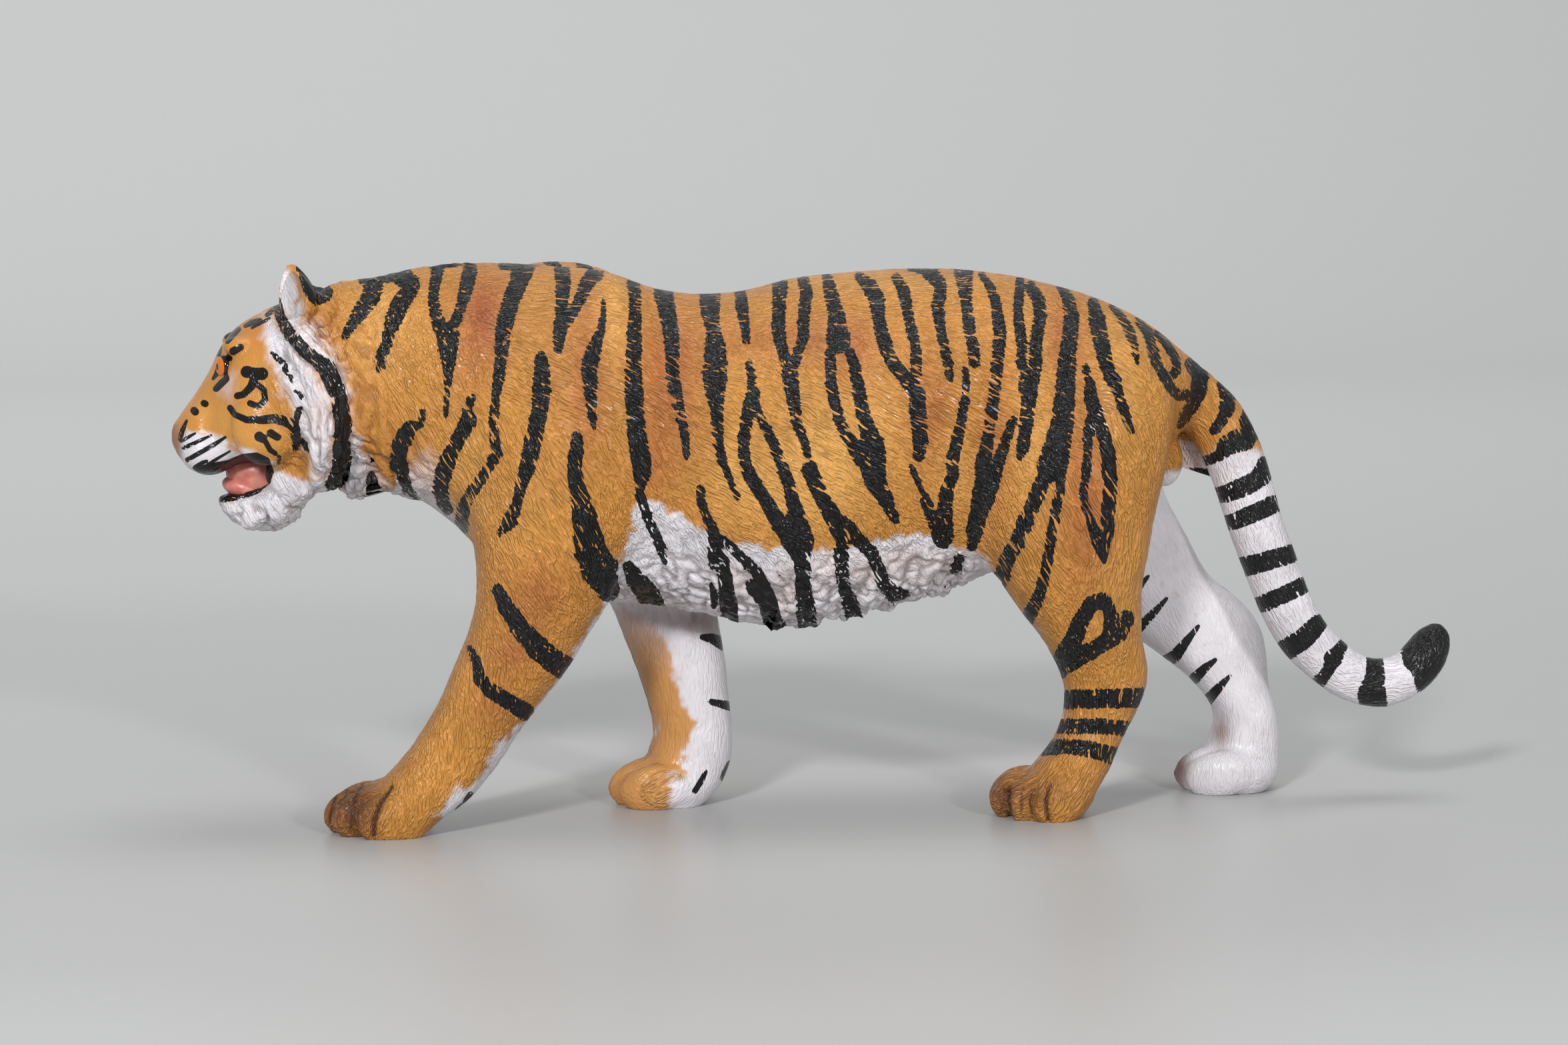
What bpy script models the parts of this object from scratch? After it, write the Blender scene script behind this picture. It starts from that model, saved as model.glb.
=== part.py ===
"""A walking tiger figurine, moulded in one piece and painted by hand.

The figure faces -X with its left side towards -Y, and stands on four paws at Z = 0.
Sizes in this file are millimetres. MM turns them into Blender's metres when a mesh is written.

Every limb is a loft: a ring is carried through a few stations and follows a smooth curve between
them. The lofts are fused into one skin, the joins are eased, and the head's finer forms are added.
Last, SOLE_CUT is shaved off the round undersides of the paws, and the figure is set down on its soles.
"""
import bmesh
import bpy
import numpy as np
from math import cos, radians, sin

MM = 0.001

# Places along the body
NOSE_X = -65.9
HEAD_LENGTH = 16.6
SHOULDER_X = -34.5
RUMP_X = 39.0

# Heights
WITHERS_Z = 57.3
BACK_Z = 56.4
BELLY_Z = 20.0
CHEST_Z = 23.0
CROWN_Z = 54.2
NOSE_Z = 40.0
SOLE_CUT = 0.8

# Half widths across the body
SHOULDER_HALF_WIDTH = 14.0
BARREL_HALF_WIDTH = 13.6
LOIN_HALF_WIDTH = 13.0
NECK_HALF_WIDTH = 9.7
HEAD_HALF_WIDTH = 9.6
MUZZLE_HALF_WIDTH = 4.4
JAW_HALF_WIDTH = 4.0

# Where each paw's leading toe stands, and how far the legs are from the middle plane
LEFT_FORE_TOE_X = -51.3
RIGHT_FORE_TOE_X = -21.5
LEFT_HIND_TOE_X = 16.3
RIGHT_HIND_TOE_X = 38.7
FORE_STANCE = 6.6
HIND_STANCE = 6.9
FORELEG_HALF_THICKNESS = 4.4
HIND_LEG_HALF_THICKNESS = 4.1

# Paws
TOE_LENGTH = 7.4
TOE_WIDTH = 3.2
TOE_HEIGHT = 5.0
TOE_SPREAD = 2.45
FORE_TOE_OUT = 14.0
HIND_TOE_OUT = 22.0

# Tail, ears, mouth and ruff
TAIL_RADIUS = 2.75
TAIL_SWAY = -1.6
EAR_HEIGHT = 5.8
EAR_WIDTH = 5.0
EAR_DEPTH = 2.6
EAR_SPACING = 6.2
MOUTH_GAPE = 2.4
RUFF_RADIUS = 2.0
RUFF_SPACING = 8.6
EYE_RADIUS = 1.15
EYE_SPACING = 3.9

# Fineness of the finished solid
SOFT_VOXEL = 0.7
SKIN_VOXEL = 0.5
RING_SIDES = 40
RINGS_PER_STATION = 5
SKIN_TRIANGLES = 10400

COAT_COLOUR = (0.60, 0.28, 0.07, 1.0)
COAT_ROUGHNESS = 0.42


def clear_scene():
    for item in list(bpy.data.objects):
        bpy.data.objects.remove(item)


def new_collection(name):
    made = bpy.data.collections.new(name)
    bpy.context.scene.collection.children.link(made)
    return made


def smooth_rows(rows, steps):
    """Catmull-Rom curve through the rows of a table, with the given number of steps between two rows."""
    rows = np.asarray(rows, float)
    padded = np.vstack([2 * rows[0] - rows[1], rows, 2 * rows[-1] - rows[-2]])
    t = np.arange(steps)[:, None] / steps
    spans = []
    for a, b, c, d in zip(padded, padded[1:], padded[2:], padded[3:]):
        spans.append(0.5 * (2 * b + (c - a) * t + (2 * a - 5 * b + 4 * c - d) * t**2
                            + (3 * b - a - 3 * c + d) * t**3))
    return np.vstack(spans + [rows[-1:]])


def skin_of_rings(rings):
    """Vertices and faces of a closed tube through a (rings, sides, 3) array, with a point at each end."""
    count, sides = rings.shape[:2]
    verts = np.vstack([rings.reshape(-1, 3), rings[0].mean(0), rings[-1].mean(0)])
    faces = []
    for i in range(count - 1):
        for j in range(sides):
            k = (j + 1) % sides
            faces.append((i * sides + j, i * sides + k, (i + 1) * sides + k, (i + 1) * sides + j))
    first, last = count * sides, count * sides + 1
    for j in range(sides):
        k = (j + 1) % sides
        faces.append((first, k, j))
        faces.append((last, (count - 1) * sides + j, (count - 1) * sides + k))
    return verts, faces


def rings_of(stations, boxiness):
    """Rings for stations of centre, upper, lower and side half axes, three numbers each."""
    table = smooth_rows(stations, RINGS_PER_STATION)
    centre, upper, lower, side = (table[:, None, 3 * i:3 * i + 3] for i in range(4))
    turn = np.linspace(0, 2 * np.pi, RING_SIDES, endpoint=False)[None, :, None]
    across = np.sign(np.cos(turn)) * np.abs(np.cos(turn)) ** (2 / boxiness)
    up = np.abs(np.sin(turn)) ** (2 / boxiness)
    return centre + side * across + np.where(np.sin(turn) >= 0, upper, lower) * up


def add_object(name, mesh, collection):
    item = bpy.data.objects.new(name, mesh)
    collection.objects.link(item)
    return item


def add_mesh(name, verts, faces, collection):
    """An object from vertices in millimetres, with its faces turned outwards."""
    mesh = bpy.data.meshes.new(name)
    mesh.from_pydata((np.asarray(verts) * MM).tolist(), [], faces)
    shape = bmesh.new()
    shape.from_mesh(mesh)
    bmesh.ops.recalc_face_normals(shape, faces=shape.faces)
    shape.to_mesh(mesh)
    shape.free()
    return add_object(name, mesh, collection)


def upright_loft(name, stations, collection, boxiness=2.15):
    """Loft along X: each station is x, top, bottom, half width and the height of its widest point."""
    rows = [(x, 0, wide, 0, 0, top - wide, 0, 0, bottom - wide, 0, half, 0)
            for x, top, bottom, half, wide in stations]
    return add_mesh(name, *skin_of_rings(rings_of(rows, boxiness)), collection)


def leg_loft(name, stations, collection, side, boxiness=2.2):
    """Loft down Z: each station is z, front x, rear x, distance from the middle plane and half thickness."""
    rows = [((front + rear) / 2, side * out, z, (rear - front) / 2, 0, 0, (front - rear) / 2, 0, 0, 0, half, 0)
            for z, front, rear, out, half in stations]
    return add_mesh(name, *skin_of_rings(rings_of(rows, boxiness)), collection)


def tube_loft(name, stations, collection):
    """Round loft along a path that runs close to the X-Z plane: each station is x, y, z and radius."""
    path = np.asarray(stations, float)
    along = np.gradient(path[:, [0, 2]], axis=0)
    along /= np.linalg.norm(along, axis=1)[:, None]
    rows = [(x, y, z, dz * r, 0, -dx * r, -dz * r, 0, dx * r, 0, r, 0)
            for (x, y, z, r), (dx, dz) in zip(path, along)]
    return add_mesh(name, *skin_of_rings(rings_of(rows, 2.0)), collection)


def ball(name, centre, half_sizes, collection, turn=0.0, droop=0.0):
    """An ellipsoid, tipped nose down and then turned about Z, both in degrees."""
    shape = bmesh.new()
    bmesh.ops.create_uvsphere(shape, u_segments=24, v_segments=16, radius=1.0)
    for vert in shape.verts:
        x, y, z = (c * h for c, h in zip(vert.co, half_sizes))
        x, z = x * cos(radians(droop)) + z * sin(radians(droop)), z * cos(radians(droop)) - x * sin(radians(droop))
        x, y = x * cos(radians(turn)) - y * sin(radians(turn)), x * sin(radians(turn)) + y * cos(radians(turn))
        vert.co = [(c + p) * MM for c, p in zip(centre, (x, y, z))]
    mesh = bpy.data.meshes.new(name)
    shape.to_mesh(mesh)
    shape.free()
    return add_object(name, mesh, collection)


def pair(name, centre, half_sizes, collection, turn=0.0, droop=0.0):
    """The same ball on the left and on the right. The turn is the left one's, and the right one mirrors it."""
    x, y, z = centre
    return [ball(f"{label}_{name}", (x, side * y, z), half_sizes, collection, turn=-side * turn, droop=droop)
            for label, side in (("left", -1), ("right", 1))]


def ear(name, centre, side, collection):
    """A cupped ear that leans forward: its back is a ball, and its front a bowl inside a thick rim."""
    rim, bowl, lean = 0.5, 1.1, 0.16
    facing = np.array([-0.86, side * 0.47, 0.18])
    facing /= np.linalg.norm(facing)
    wide = np.cross([0, 0, 1], facing)
    wide /= np.linalg.norm(wide)
    tall = np.cross(facing, wide)
    shape = bmesh.new()
    bmesh.ops.create_uvsphere(shape, u_segments=32, v_segments=24, radius=1.0)
    for vert in shape.verts:
        x, y, z = vert.co
        inside = max(0.0, 1 - y * y - z * z)
        depth = rim * x**0.3 - bowl * inside if x > 0 else x * EAR_DEPTH * (1 - 0.45 * z)
        narrow = 1 - 0.22 * max(z, 0)
        place = (np.array(centre) + facing * (depth + lean * z * EAR_HEIGHT / 2)
                 + wide * y * narrow * EAR_WIDTH / 2 + tall * z * EAR_HEIGHT / 2)
        vert.co = place * MM
    mesh = bpy.data.meshes.new(name)
    shape.to_mesh(mesh)
    shape.free()
    return add_object(name, mesh, collection)


def paw(name, front, stance, side, toe_out, collection):
    """A paw's four toes and its pad. front is the x of the leading toe."""
    forward = np.array([-cos(radians(toe_out)), side * sin(radians(toe_out))])
    across = np.array([forward[1], -forward[0]]) * side
    tip = np.array([front + TOE_LENGTH / 2, side * stance])
    toe_z = SOLE_CUT + TOE_HEIGHT / 2 - 0.4
    made = []
    for index, (place, setback) in enumerate(((-1.5, 1.5), (-0.5, 0.0), (0.5, 0.2), (1.5, 2.0))):
        x, y = tip + across * place * TOE_SPREAD - forward * setback
        made.append(ball(f"{name}_toe_{index}", (x, y, toe_z), (TOE_LENGTH / 2, TOE_WIDTH / 2, TOE_HEIGHT / 2),
                         collection, turn=-side * toe_out, droop=-12))
    x, y = tip - forward * (TOE_LENGTH / 2 - 0.5)
    made.append(ball(f"{name}_pad", (x, y, SOLE_CUT + 2.2), (TOE_LENGTH / 2 + 0.5, TOE_SPREAD * 1.9, 3.2),
                     collection, turn=-side * toe_out, droop=-8))
    return made


def trunk_stations():
    """Stations of the neck and trunk, from inside the head to the rump."""
    shoulder, barrel, loin, neck = SHOULDER_HALF_WIDTH, BARREL_HALF_WIDTH, LOIN_HALF_WIDTH, NECK_HALF_WIDTH
    back, withers, belly, chest = BACK_Z, WITHERS_Z, BELLY_Z, CHEST_Z
    head_x = NOSE_X + HEAD_LENGTH
    reach = SHOULDER_X - head_x
    return [
        (head_x - 4.7, CROWN_Z - 2.4, NOSE_Z - 1.0, neck - 4.5, 46.0),
        (head_x - 0.7, CROWN_Z + 0.9, NOSE_Z - 3.2, neck - 0.8, 45.4),
        (head_x + 0.22 * reach, CROWN_Z + 1.6, NOSE_Z - 4.8, neck, 44.8),
        (head_x + 0.49 * reach, withers - 0.7, NOSE_Z - 6.0, neck + 1.5, 44.2),
        (head_x + 0.76 * reach, withers - 0.1, chest + 8.4, shoulder - 1.4, 43.4),
        (SHOULDER_X, withers, chest + 4.6, shoulder - 0.8, 42.5),
        (SHOULDER_X + 3.5, withers - 0.1, chest + 1.6, shoulder - 0.2, 41.5),
        (-27.0, withers - 0.4, chest + 0.3, shoulder, 40.5),
        (-22.0, withers - 1.0, chest, shoulder - 0.5, 39.5),
        (-17.5, back - 1.7, chest - 0.4, barrel - 0.8, 38.6),
        (-13.0, back - 2.4, chest - 1.3, barrel - 0.7, 38.0),
        (-8.0, back - 2.1, belly + 0.6, barrel - 0.3, 37.6),
        (-3.0, back - 0.9, belly, barrel, 37.5),
        (3.0, back - 0.3, belly + 1.2, barrel - 0.1, 38.0),
        (9.0, back, belly + 2.4, loin + 0.1, 39.0),
        (15.0, back - 0.2, belly + 4.4, loin - 0.2, 40.5),
        (21.0, back - 1.1, belly + 7.4, loin - 0.2, 42.0),
        (RUMP_X - 12.0, back - 2.7, belly + 11.4, loin - 0.8, 43.0),
        (RUMP_X - 7.5, back - 4.6, belly + 14.4, loin - 2.4, 43.8),
        (RUMP_X - 4.0, back - 6.7, belly + 17.4, loin - 5.0, 44.0),
        (RUMP_X - 1.6, back - 8.7, belly + 20.2, loin - 7.8, 44.2),
        (RUMP_X - 0.3, back - 10.6, belly + 23.0, loin - 10.8, 44.5),
    ]


def head_stations():
    """Stations of the skull and upper jaw, from the nose to the back of the cheeks."""
    head, muzzle, nose, crown = HEAD_HALF_WIDTH, MUZZLE_HALF_WIDTH, NOSE_Z, CROWN_Z
    head_x = NOSE_X + HEAD_LENGTH
    return [
        (NOSE_X + 0.2, nose + 0.9, nose - 0.4, muzzle - 3.4, nose + 0.2),
        (NOSE_X + 0.7, nose + 1.8, nose - 1.5, muzzle - 2.2, nose),
        (NOSE_X + 1.5, nose + 3.0, nose - 2.5, muzzle - 1.1, nose),
        (NOSE_X + 2.6, nose + 4.5, nose - 3.4, muzzle - 0.3, nose),
        (NOSE_X + 3.9, nose + 6.6, nose - 3.7, muzzle, nose + 0.2),
        (NOSE_X + 5.2, nose + 9.2, nose - 3.4, muzzle + 1.1, nose + 1.6),
        (NOSE_X + 6.8, nose + 11.1, nose - 2.6, muzzle + 2.7, nose + 3.0),
        (NOSE_X + 8.9, crown - 1.8, nose - 2.6, head - 1.4, nose + 3.8),
        (head_x - 5.7, crown - 0.9, nose - 3.8, head - 0.4, nose + 4.0),
        (head_x - 3.7, crown - 0.3, nose - 4.6, head, nose + 4.0),
        (head_x - 1.7, crown, nose - 4.8, head - 0.3, nose + 3.6),
        (head_x, crown - 0.4, nose - 4.2, head - 1.5, nose + 3.2),
        (head_x + 1.1, crown - 2.2, nose - 3.0, head - 3.6, nose + 3.2),
        (head_x + 1.7, crown - 5.2, nose, head - 6.4, nose + 3.6),
    ]


def jaw_stations():
    """Stations of the lower jaw and chin, hung a mouth's gape below the upper lip."""
    half = JAW_HALF_WIDTH
    lip = NOSE_Z - 3.3 - MOUTH_GAPE
    return [
        (NOSE_X + 4.8, lip - 0.2, lip - 0.9, half - 2.9, lip - 0.5),
        (NOSE_X + 5.3, lip, lip - 1.8, half - 1.9, lip - 0.9),
        (NOSE_X + 6.3, lip + 0.3, lip - 2.6, half - 1.1, lip - 1.2),
        (NOSE_X + 7.5, lip + 0.7, lip - 3.4, half - 0.6, lip - 1.2),
        (NOSE_X + 8.9, lip + 1.2, lip - 3.6, half - 0.1, lip - 0.9),
        (NOSE_X + 10.4, lip + 2.1, lip - 3.3, half + 0.7, lip - 0.2),
        (NOSE_X + 12.4, lip + 3.6, lip - 1.8, half + 1.7, lip + 1.2),
        (NOSE_X + 14.4, lip + 5.0, lip - 0.1, half + 2.2, lip + 2.8),
        (NOSE_X + 16.4, lip + 6.0, lip + 1.2, half + 1.8, lip + 4.0),
    ]


# Legs. Each row is a height, the front and rear edges behind the leading toe, and what is added there
# to the stance and to the half thickness
FORELEG_STRETCHED = [
    (48.0, 17.8, 28.3, 1.0, 0.2),
    (42.0, 14.7, 30.7, 1.7, 1.2),
    (36.0, 14.3, 31.5, 2.0, 1.5),
    (31.0, 14.8, 30.8, 2.0, 1.5),
    (27.2, 15.2, 29.5, 1.9, 1.3),
    (24.0, 15.2, 28.5, 1.7, 1.0),
    (20.8, 14.4, 26.5, 1.3, 0.7),
    (17.4, 13.0, 24.5, 1.0, 0.4),
    (14.0, 11.6, 21.9, 0.7, 0.1),
    (10.8, 9.7, 19.5, 0.4, 0.0),
    (8.4, 8.0, 18.0, 0.2, 0.0),
    (6.0, 5.8, 16.2, 0.1, 0.2),
    (4.0, 4.4, 14.4, 0.0, 0.3),
    (2.2, 3.9, 11.8, 0.0, 0.2),
    (0.0, 4.4, 9.8, 0.0, -0.4),
]
FORELEG_STANDING = [
    (48.0, -9.5, 1.0, 1.0, 0.2),
    (42.0, -11.1, 4.1, 1.7, 1.2),
    (36.0, -10.1, 6.3, 2.0, 1.4),
    (31.0, -7.5, 8.3, 2.0, 1.3),
    (26.5, -3.7, 10.3, 1.7, 1.0),
    (22.0, 0.1, 11.1, 1.1, 0.5),
    (18.6, 1.6, 11.8, 0.6, 0.2),
    (15.2, 2.9, 12.3, 0.3, 0.0),
    (11.6, 4.1, 12.6, 0.1, -0.1),
    (8.2, 4.8, 12.9, 0.0, 0.0),
    (5.8, 4.1, 12.9, 0.0, 0.2),
    (3.6, 3.3, 12.2, 0.0, 0.3),
    (2.0, 3.1, 11.2, 0.0, 0.2),
    (0.0, 3.5, 9.1, 0.0, -0.4),
]
HIND_LEG_FORWARD = [
    (50.0, 4.2, 15.2, 0.4, 0.4),
    (44.0, -0.3, 18.3, 1.0, 1.8),
    (38.0, -2.1, 17.9, 1.4, 2.4),
    (32.5, -2.3, 16.4, 1.6, 2.5),
    (28.5, -1.5, 15.7, 1.6, 2.2),
    (24.9, 0.8, 15.1, 1.4, 1.7),
    (22.0, 2.9, 15.1, 1.1, 1.2),
    (19.0, 5.2, 15.3, 0.8, 0.7),
    (15.8, 7.0, 16.0, 0.4, 0.1),
    (13.2, 7.6, 15.6, 0.2, -0.3),
    (10.4, 7.2, 14.3, 0.1, -0.4),
    (8.0, 6.0, 13.1, 0.0, 0.0),
    (5.8, 4.3, 12.2, 0.0, 0.4),
    (3.8, 3.2, 11.0, 0.0, 0.5),
    (2.0, 3.0, 9.9, 0.0, 0.3),
    (0.0, 3.4, 8.2, 0.0, -0.4),
]
HIND_LEG_BACKWARD = [
    (50.0, -17.7, -7.2, 0.4, 0.4),
    (44.0, -21.7, -3.5, 1.0, 1.8),
    (38.0, -22.1, -2.9, 1.4, 2.4),
    (32.0, -20.7, -1.1, 1.6, 2.5),
    (27.5, -17.9, 1.3, 1.4, 2.0),
    (23.6, -14.1, 3.5, 1.0, 1.3),
    (20.6, -9.7, 7.1, 0.7, 0.7),
    (17.8, -5.5, 9.1, 0.4, 0.2),
    (15.0, -1.5, 9.7, 0.2, -0.1),
    (12.0, 2.1, 9.9, 0.1, -0.2),
    (9.0, 4.2, 10.6, 0.0, 0.0),
    (6.4, 3.9, 11.1, 0.0, 0.3),
    (4.0, 2.9, 11.0, 0.0, 0.4),
    (2.2, 2.6, 10.0, 0.0, 0.2),
    (0.0, 2.9, 8.3, 0.0, -0.4),
]


def leg_stations(table, toe_x, stance, thickness):
    return [(z, toe_x + front, toe_x + rear, stance + out, thickness + half) for z, front, rear, out, half in table]


def tail_stations():
    """Stations from inside the rump, down behind the hocks and up to the tip."""
    r, sway, root_z = TAIL_RADIUS, TAIL_SWAY, BACK_Z - 12.0
    return [
        (RUMP_X - 5.5, 0.0, root_z + 0.4, r + 1.3),
        (RUMP_X - 3.0, 0.0, root_z - 0.2, r + 1.15),
        (RUMP_X - 1.0, 0.0, root_z - 1.3, r + 0.8),
        (RUMP_X + 0.9, sway * 0.1, root_z - 2.7, r + 0.45),
        (RUMP_X + 2.4, sway * 0.3, root_z - 4.8, r + 0.35),
        (RUMP_X + 3.6, sway * 0.5, root_z - 7.2, r + 0.3),
        (RUMP_X + 4.6, sway * 0.7, root_z - 10.0, r + 0.25),
        (RUMP_X + 5.4, sway * 0.9, root_z - 12.8, r + 0.15),
        (RUMP_X + 6.2, sway, root_z - 15.4, r + 0.1),
        (RUMP_X + 7.3, sway, root_z - 18.1, r + 0.1),
        (RUMP_X + 8.4, sway, root_z - 21.0, r + 0.05),
        (RUMP_X + 9.7, sway, root_z - 23.9, r),
        (RUMP_X + 11.5, sway * 0.9, root_z - 26.7, r - 0.05),
        (RUMP_X + 13.8, sway * 0.7, root_z - 28.9, r - 0.15),
        (RUMP_X + 16.7, sway * 0.5, root_z - 30.9, r - 0.2),
        (RUMP_X + 20.1, sway * 0.3, root_z - 31.6, r - 0.2),
        (RUMP_X + 22.9, sway * 0.2, root_z - 30.6, r - 0.35),
        (RUMP_X + 24.6, sway * 0.1, root_z - 28.9, r - 0.4),
        (RUMP_X + 25.6, 0.0, root_z - 27.1, r - 0.8),
        (RUMP_X + 25.9, 0.0, root_z - 25.9, r - 1.6),
        (RUMP_X + 25.9, 0.0, root_z - 25.4, r - 2.4),
    ]


def ruff_stations(side):
    """Stations of the fur crest that runs from the ear down behind the cheek."""
    head_x, y, r = NOSE_X + HEAD_LENGTH, RUFF_SPACING * side, RUFF_RADIUS
    return [
        (head_x - 4.6, y * 0.78, NOSE_Z + 12.4, r - 0.9),
        (head_x - 3.6, y * 0.93, NOSE_Z + 10.4, r - 0.3),
        (head_x - 2.2, y * 1.0, NOSE_Z + 7.9, r),
        (head_x - 1.4, y * 1.01, NOSE_Z + 5.0, r + 0.1),
        (head_x - 1.2, y * 0.98, NOSE_Z + 1.6, r + 0.1),
        (head_x - 1.3, y * 0.89, NOSE_Z - 1.4, r),
        (head_x - 1.5, y * 0.76, NOSE_Z - 3.7, r - 0.4),
        (head_x - 1.7, y * 0.68, NOSE_Z - 4.9, r - 1.2),
    ]


def head_forms(collection):
    """The head with its jaw, tongue, ears, ruff, brows, eyes, whisker pads and the nose's pad."""
    ear_x = NOSE_X + 12.4
    ear_z = CROWN_Z - 0.1
    return [
        upright_loft("head", head_stations(), collection, boxiness=2.1),
        upright_loft("jaw", jaw_stations(), collection),
        ball("tongue", (NOSE_X + 8.3, 0, NOSE_Z - 2.2 - MOUTH_GAPE), (3.0, 2.5, 1.4), collection, droop=8),
        ball("nose_pad", (NOSE_X + 1.2, 0, NOSE_Z + 0.8), (0.95, 1.8, 1.2), collection),
        ear("left_ear", (ear_x, -EAR_SPACING, ear_z), -1, collection),
        ear("right_ear", (ear_x, EAR_SPACING, ear_z), 1, collection),
        *pair("ear_root", (ear_x + 2.4, EAR_SPACING - 0.6, ear_z - 1.5), (2.5, 1.9, 2.1), collection, droop=35),
        tube_loft("left_ruff", ruff_stations(-1), collection),
        tube_loft("right_ruff", ruff_stations(1), collection),
        *pair("whisker_pad", (NOSE_X + 3.5, MUZZLE_HALF_WIDTH - 1.8, NOSE_Z - 0.9), (2.6, 2.5, 2.4), collection),
        *pair("brow", (NOSE_X + 7.1, EYE_SPACING, NOSE_Z + 9.4), (1.8, 1.8, 1.1), collection, turn=20),
        *pair("eye", (NOSE_X + 5.7, EYE_SPACING - 0.1, NOSE_Z + 7.5), (EYE_RADIUS,) * 3, collection),
        *pair("cheek", (NOSE_X + 9.6, HEAD_HALF_WIDTH - 3.2, NOSE_Z + 1.8), (3.6, 2.7, 4.0), collection),
    ]


def throat_tufts(collection):
    """Tufts of fur under the neck, which give its lower outline three soft steps."""
    head_x = NOSE_X + HEAD_LENGTH
    reach = SHOULDER_X - head_x
    return [ball(f"throat_tuft_{index}", (head_x + share * reach, 0, z), (2.1, 4.6, 2.1), collection, droop=35)
            for index, (share, z) in enumerate(((0.14, NOSE_Z - 4.2), (0.52, NOSE_Z - 4.4), (0.80, NOSE_Z - 6.4)))]


def join(items, name):
    """One object from several, their meshes laid together."""
    shape = bmesh.new()
    for item in items:
        shape.from_mesh(item.data)
    mesh = bpy.data.meshes.new(name)
    shape.to_mesh(mesh)
    shape.free()
    joined = add_object(name, mesh, items[0].users_collection[0])
    for item in items:
        bpy.data.objects.remove(item)
    return joined


def bake(item):
    """Turns an object's modifiers into its mesh."""
    bpy.context.view_layer.update()
    evaluated = item.evaluated_get(bpy.context.evaluated_depsgraph_get())
    mesh = bpy.data.meshes.new_from_object(evaluated)
    item.modifiers.clear()
    item.data = mesh


def fuse(item, voxel):
    """Fuses what lies together into one skin."""
    remesh = item.modifiers.new("fuse", "REMESH")
    remesh.mode = "VOXEL"
    remesh.voxel_size = voxel * MM
    bake(item)


def ease(item, places, factor, rounds):
    """Smooths the skin near the given places, each a centre and a reach, as a thumb would smooth clay."""
    co = np.empty(len(item.data.vertices) * 3)
    item.data.vertices.foreach_get("co", co)
    co = co.reshape(-1, 3) / MM
    weight = np.zeros(len(co))
    for *centre, reach in places:
        near = 1 - np.linalg.norm(co - np.array(centre), axis=1) / reach
        weight = np.maximum(weight, np.clip(near * 2, 0, 1))
    group = item.vertex_groups.new(name="eased")
    for step in np.arange(1, 11):
        chosen = np.nonzero(np.round(weight * 10) == step)[0]
        group.add(chosen.tolist(), float(step) / 10, "REPLACE")
    soften = item.modifiers.new("ease", "SMOOTH")
    soften.factor = factor
    soften.iterations = rounds
    soften.vertex_group = group.name
    bake(item)


def soft_body(collection):
    """Trunk, legs and tail, fused and eased where the shoulders, thighs and neck join the trunk."""
    fore, hind = FORELEG_HALF_THICKNESS, HIND_LEG_HALF_THICKNESS
    limbs = [upright_loft("trunk", trunk_stations(), collection), tube_loft("tail", tail_stations(), collection)]
    for name, table, toe_x, stance, thickness, side in (
            ("left_foreleg", FORELEG_STRETCHED, LEFT_FORE_TOE_X, FORE_STANCE, fore, -1),
            ("right_foreleg", FORELEG_STANDING, RIGHT_FORE_TOE_X, FORE_STANCE, fore, 1),
            ("left_hind_leg", HIND_LEG_FORWARD, LEFT_HIND_TOE_X, HIND_STANCE, hind, -1),
            ("right_hind_leg", HIND_LEG_BACKWARD, RIGHT_HIND_TOE_X, HIND_STANCE, hind, 1)):
        limbs.append(leg_loft(name, leg_stations(table, toe_x, stance, thickness), collection, side))
    body = join(limbs, "soft_body")
    fuse(body, SOFT_VOXEL)
    shoulder, loin = SHOULDER_HALF_WIDTH, LOIN_HALF_WIDTH
    places = [(x, side * y, z, reach) for side in (-1, 1) for x, y, z, reach in (
        (SHOULDER_X + 6, shoulder - 1, 46, 13), (SHOULDER_X + 4, shoulder - 4, 36, 11),
        (SHOULDER_X + 14, shoulder - 2, 34, 10), (SHOULDER_X, shoulder - 9, 30, 8),
        (RUMP_X - 17, loin - 1, 46, 13), (RUMP_X - 23, loin - 1, 34, 12), (RUMP_X - 9, loin - 3, 42, 10))]
    ease(body, places + [(RUMP_X - 2, 0, 46, 7)], 0.6, 16)
    return body


def figurine(collection):
    paws = [
        *paw("left_fore_paw", LEFT_FORE_TOE_X, FORE_STANCE, -1, FORE_TOE_OUT, collection),
        *paw("right_fore_paw", RIGHT_FORE_TOE_X, FORE_STANCE, 1, FORE_TOE_OUT, collection),
        *paw("left_hind_paw", LEFT_HIND_TOE_X, HIND_STANCE, -1, HIND_TOE_OUT, collection),
        *paw("right_hind_paw", RIGHT_HIND_TOE_X, HIND_STANCE, 1, HIND_TOE_OUT, collection),
    ]
    under_tail = ball("under_tail", (RUMP_X - 3.4, 0, BACK_Z - 19.8), (1.9, 2.4, 2.9), collection)
    tiger = join([soft_body(collection), *head_forms(collection), *throat_tufts(collection), *paws, under_tail],
                 "tiger")
    fuse(tiger, SKIN_VOXEL)
    ease(tiger, [(NOSE_X + HEAD_LENGTH / 2, 0, NOSE_Z + 5, 26)], 0.5, 2)
    thin = tiger.modifiers.new("fewer_triangles", "DECIMATE")
    thin.ratio = min(1.0, SKIN_TRIANGLES / (2 * len(tiger.data.polygons)))
    thin.use_collapse_triangulate = True
    bake(tiger)
    set_down(tiger)
    return tiger


def set_down(tiger):
    """Puts the origin under the middle of the figure's box, with the soles' cut at the floor."""
    corners = np.array(tiger.bound_box)
    middle = (corners.min(0) + corners.max(0)) / 2
    tiger.location = (-middle[0], -middle[1], -SOLE_CUT * MM)


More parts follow.
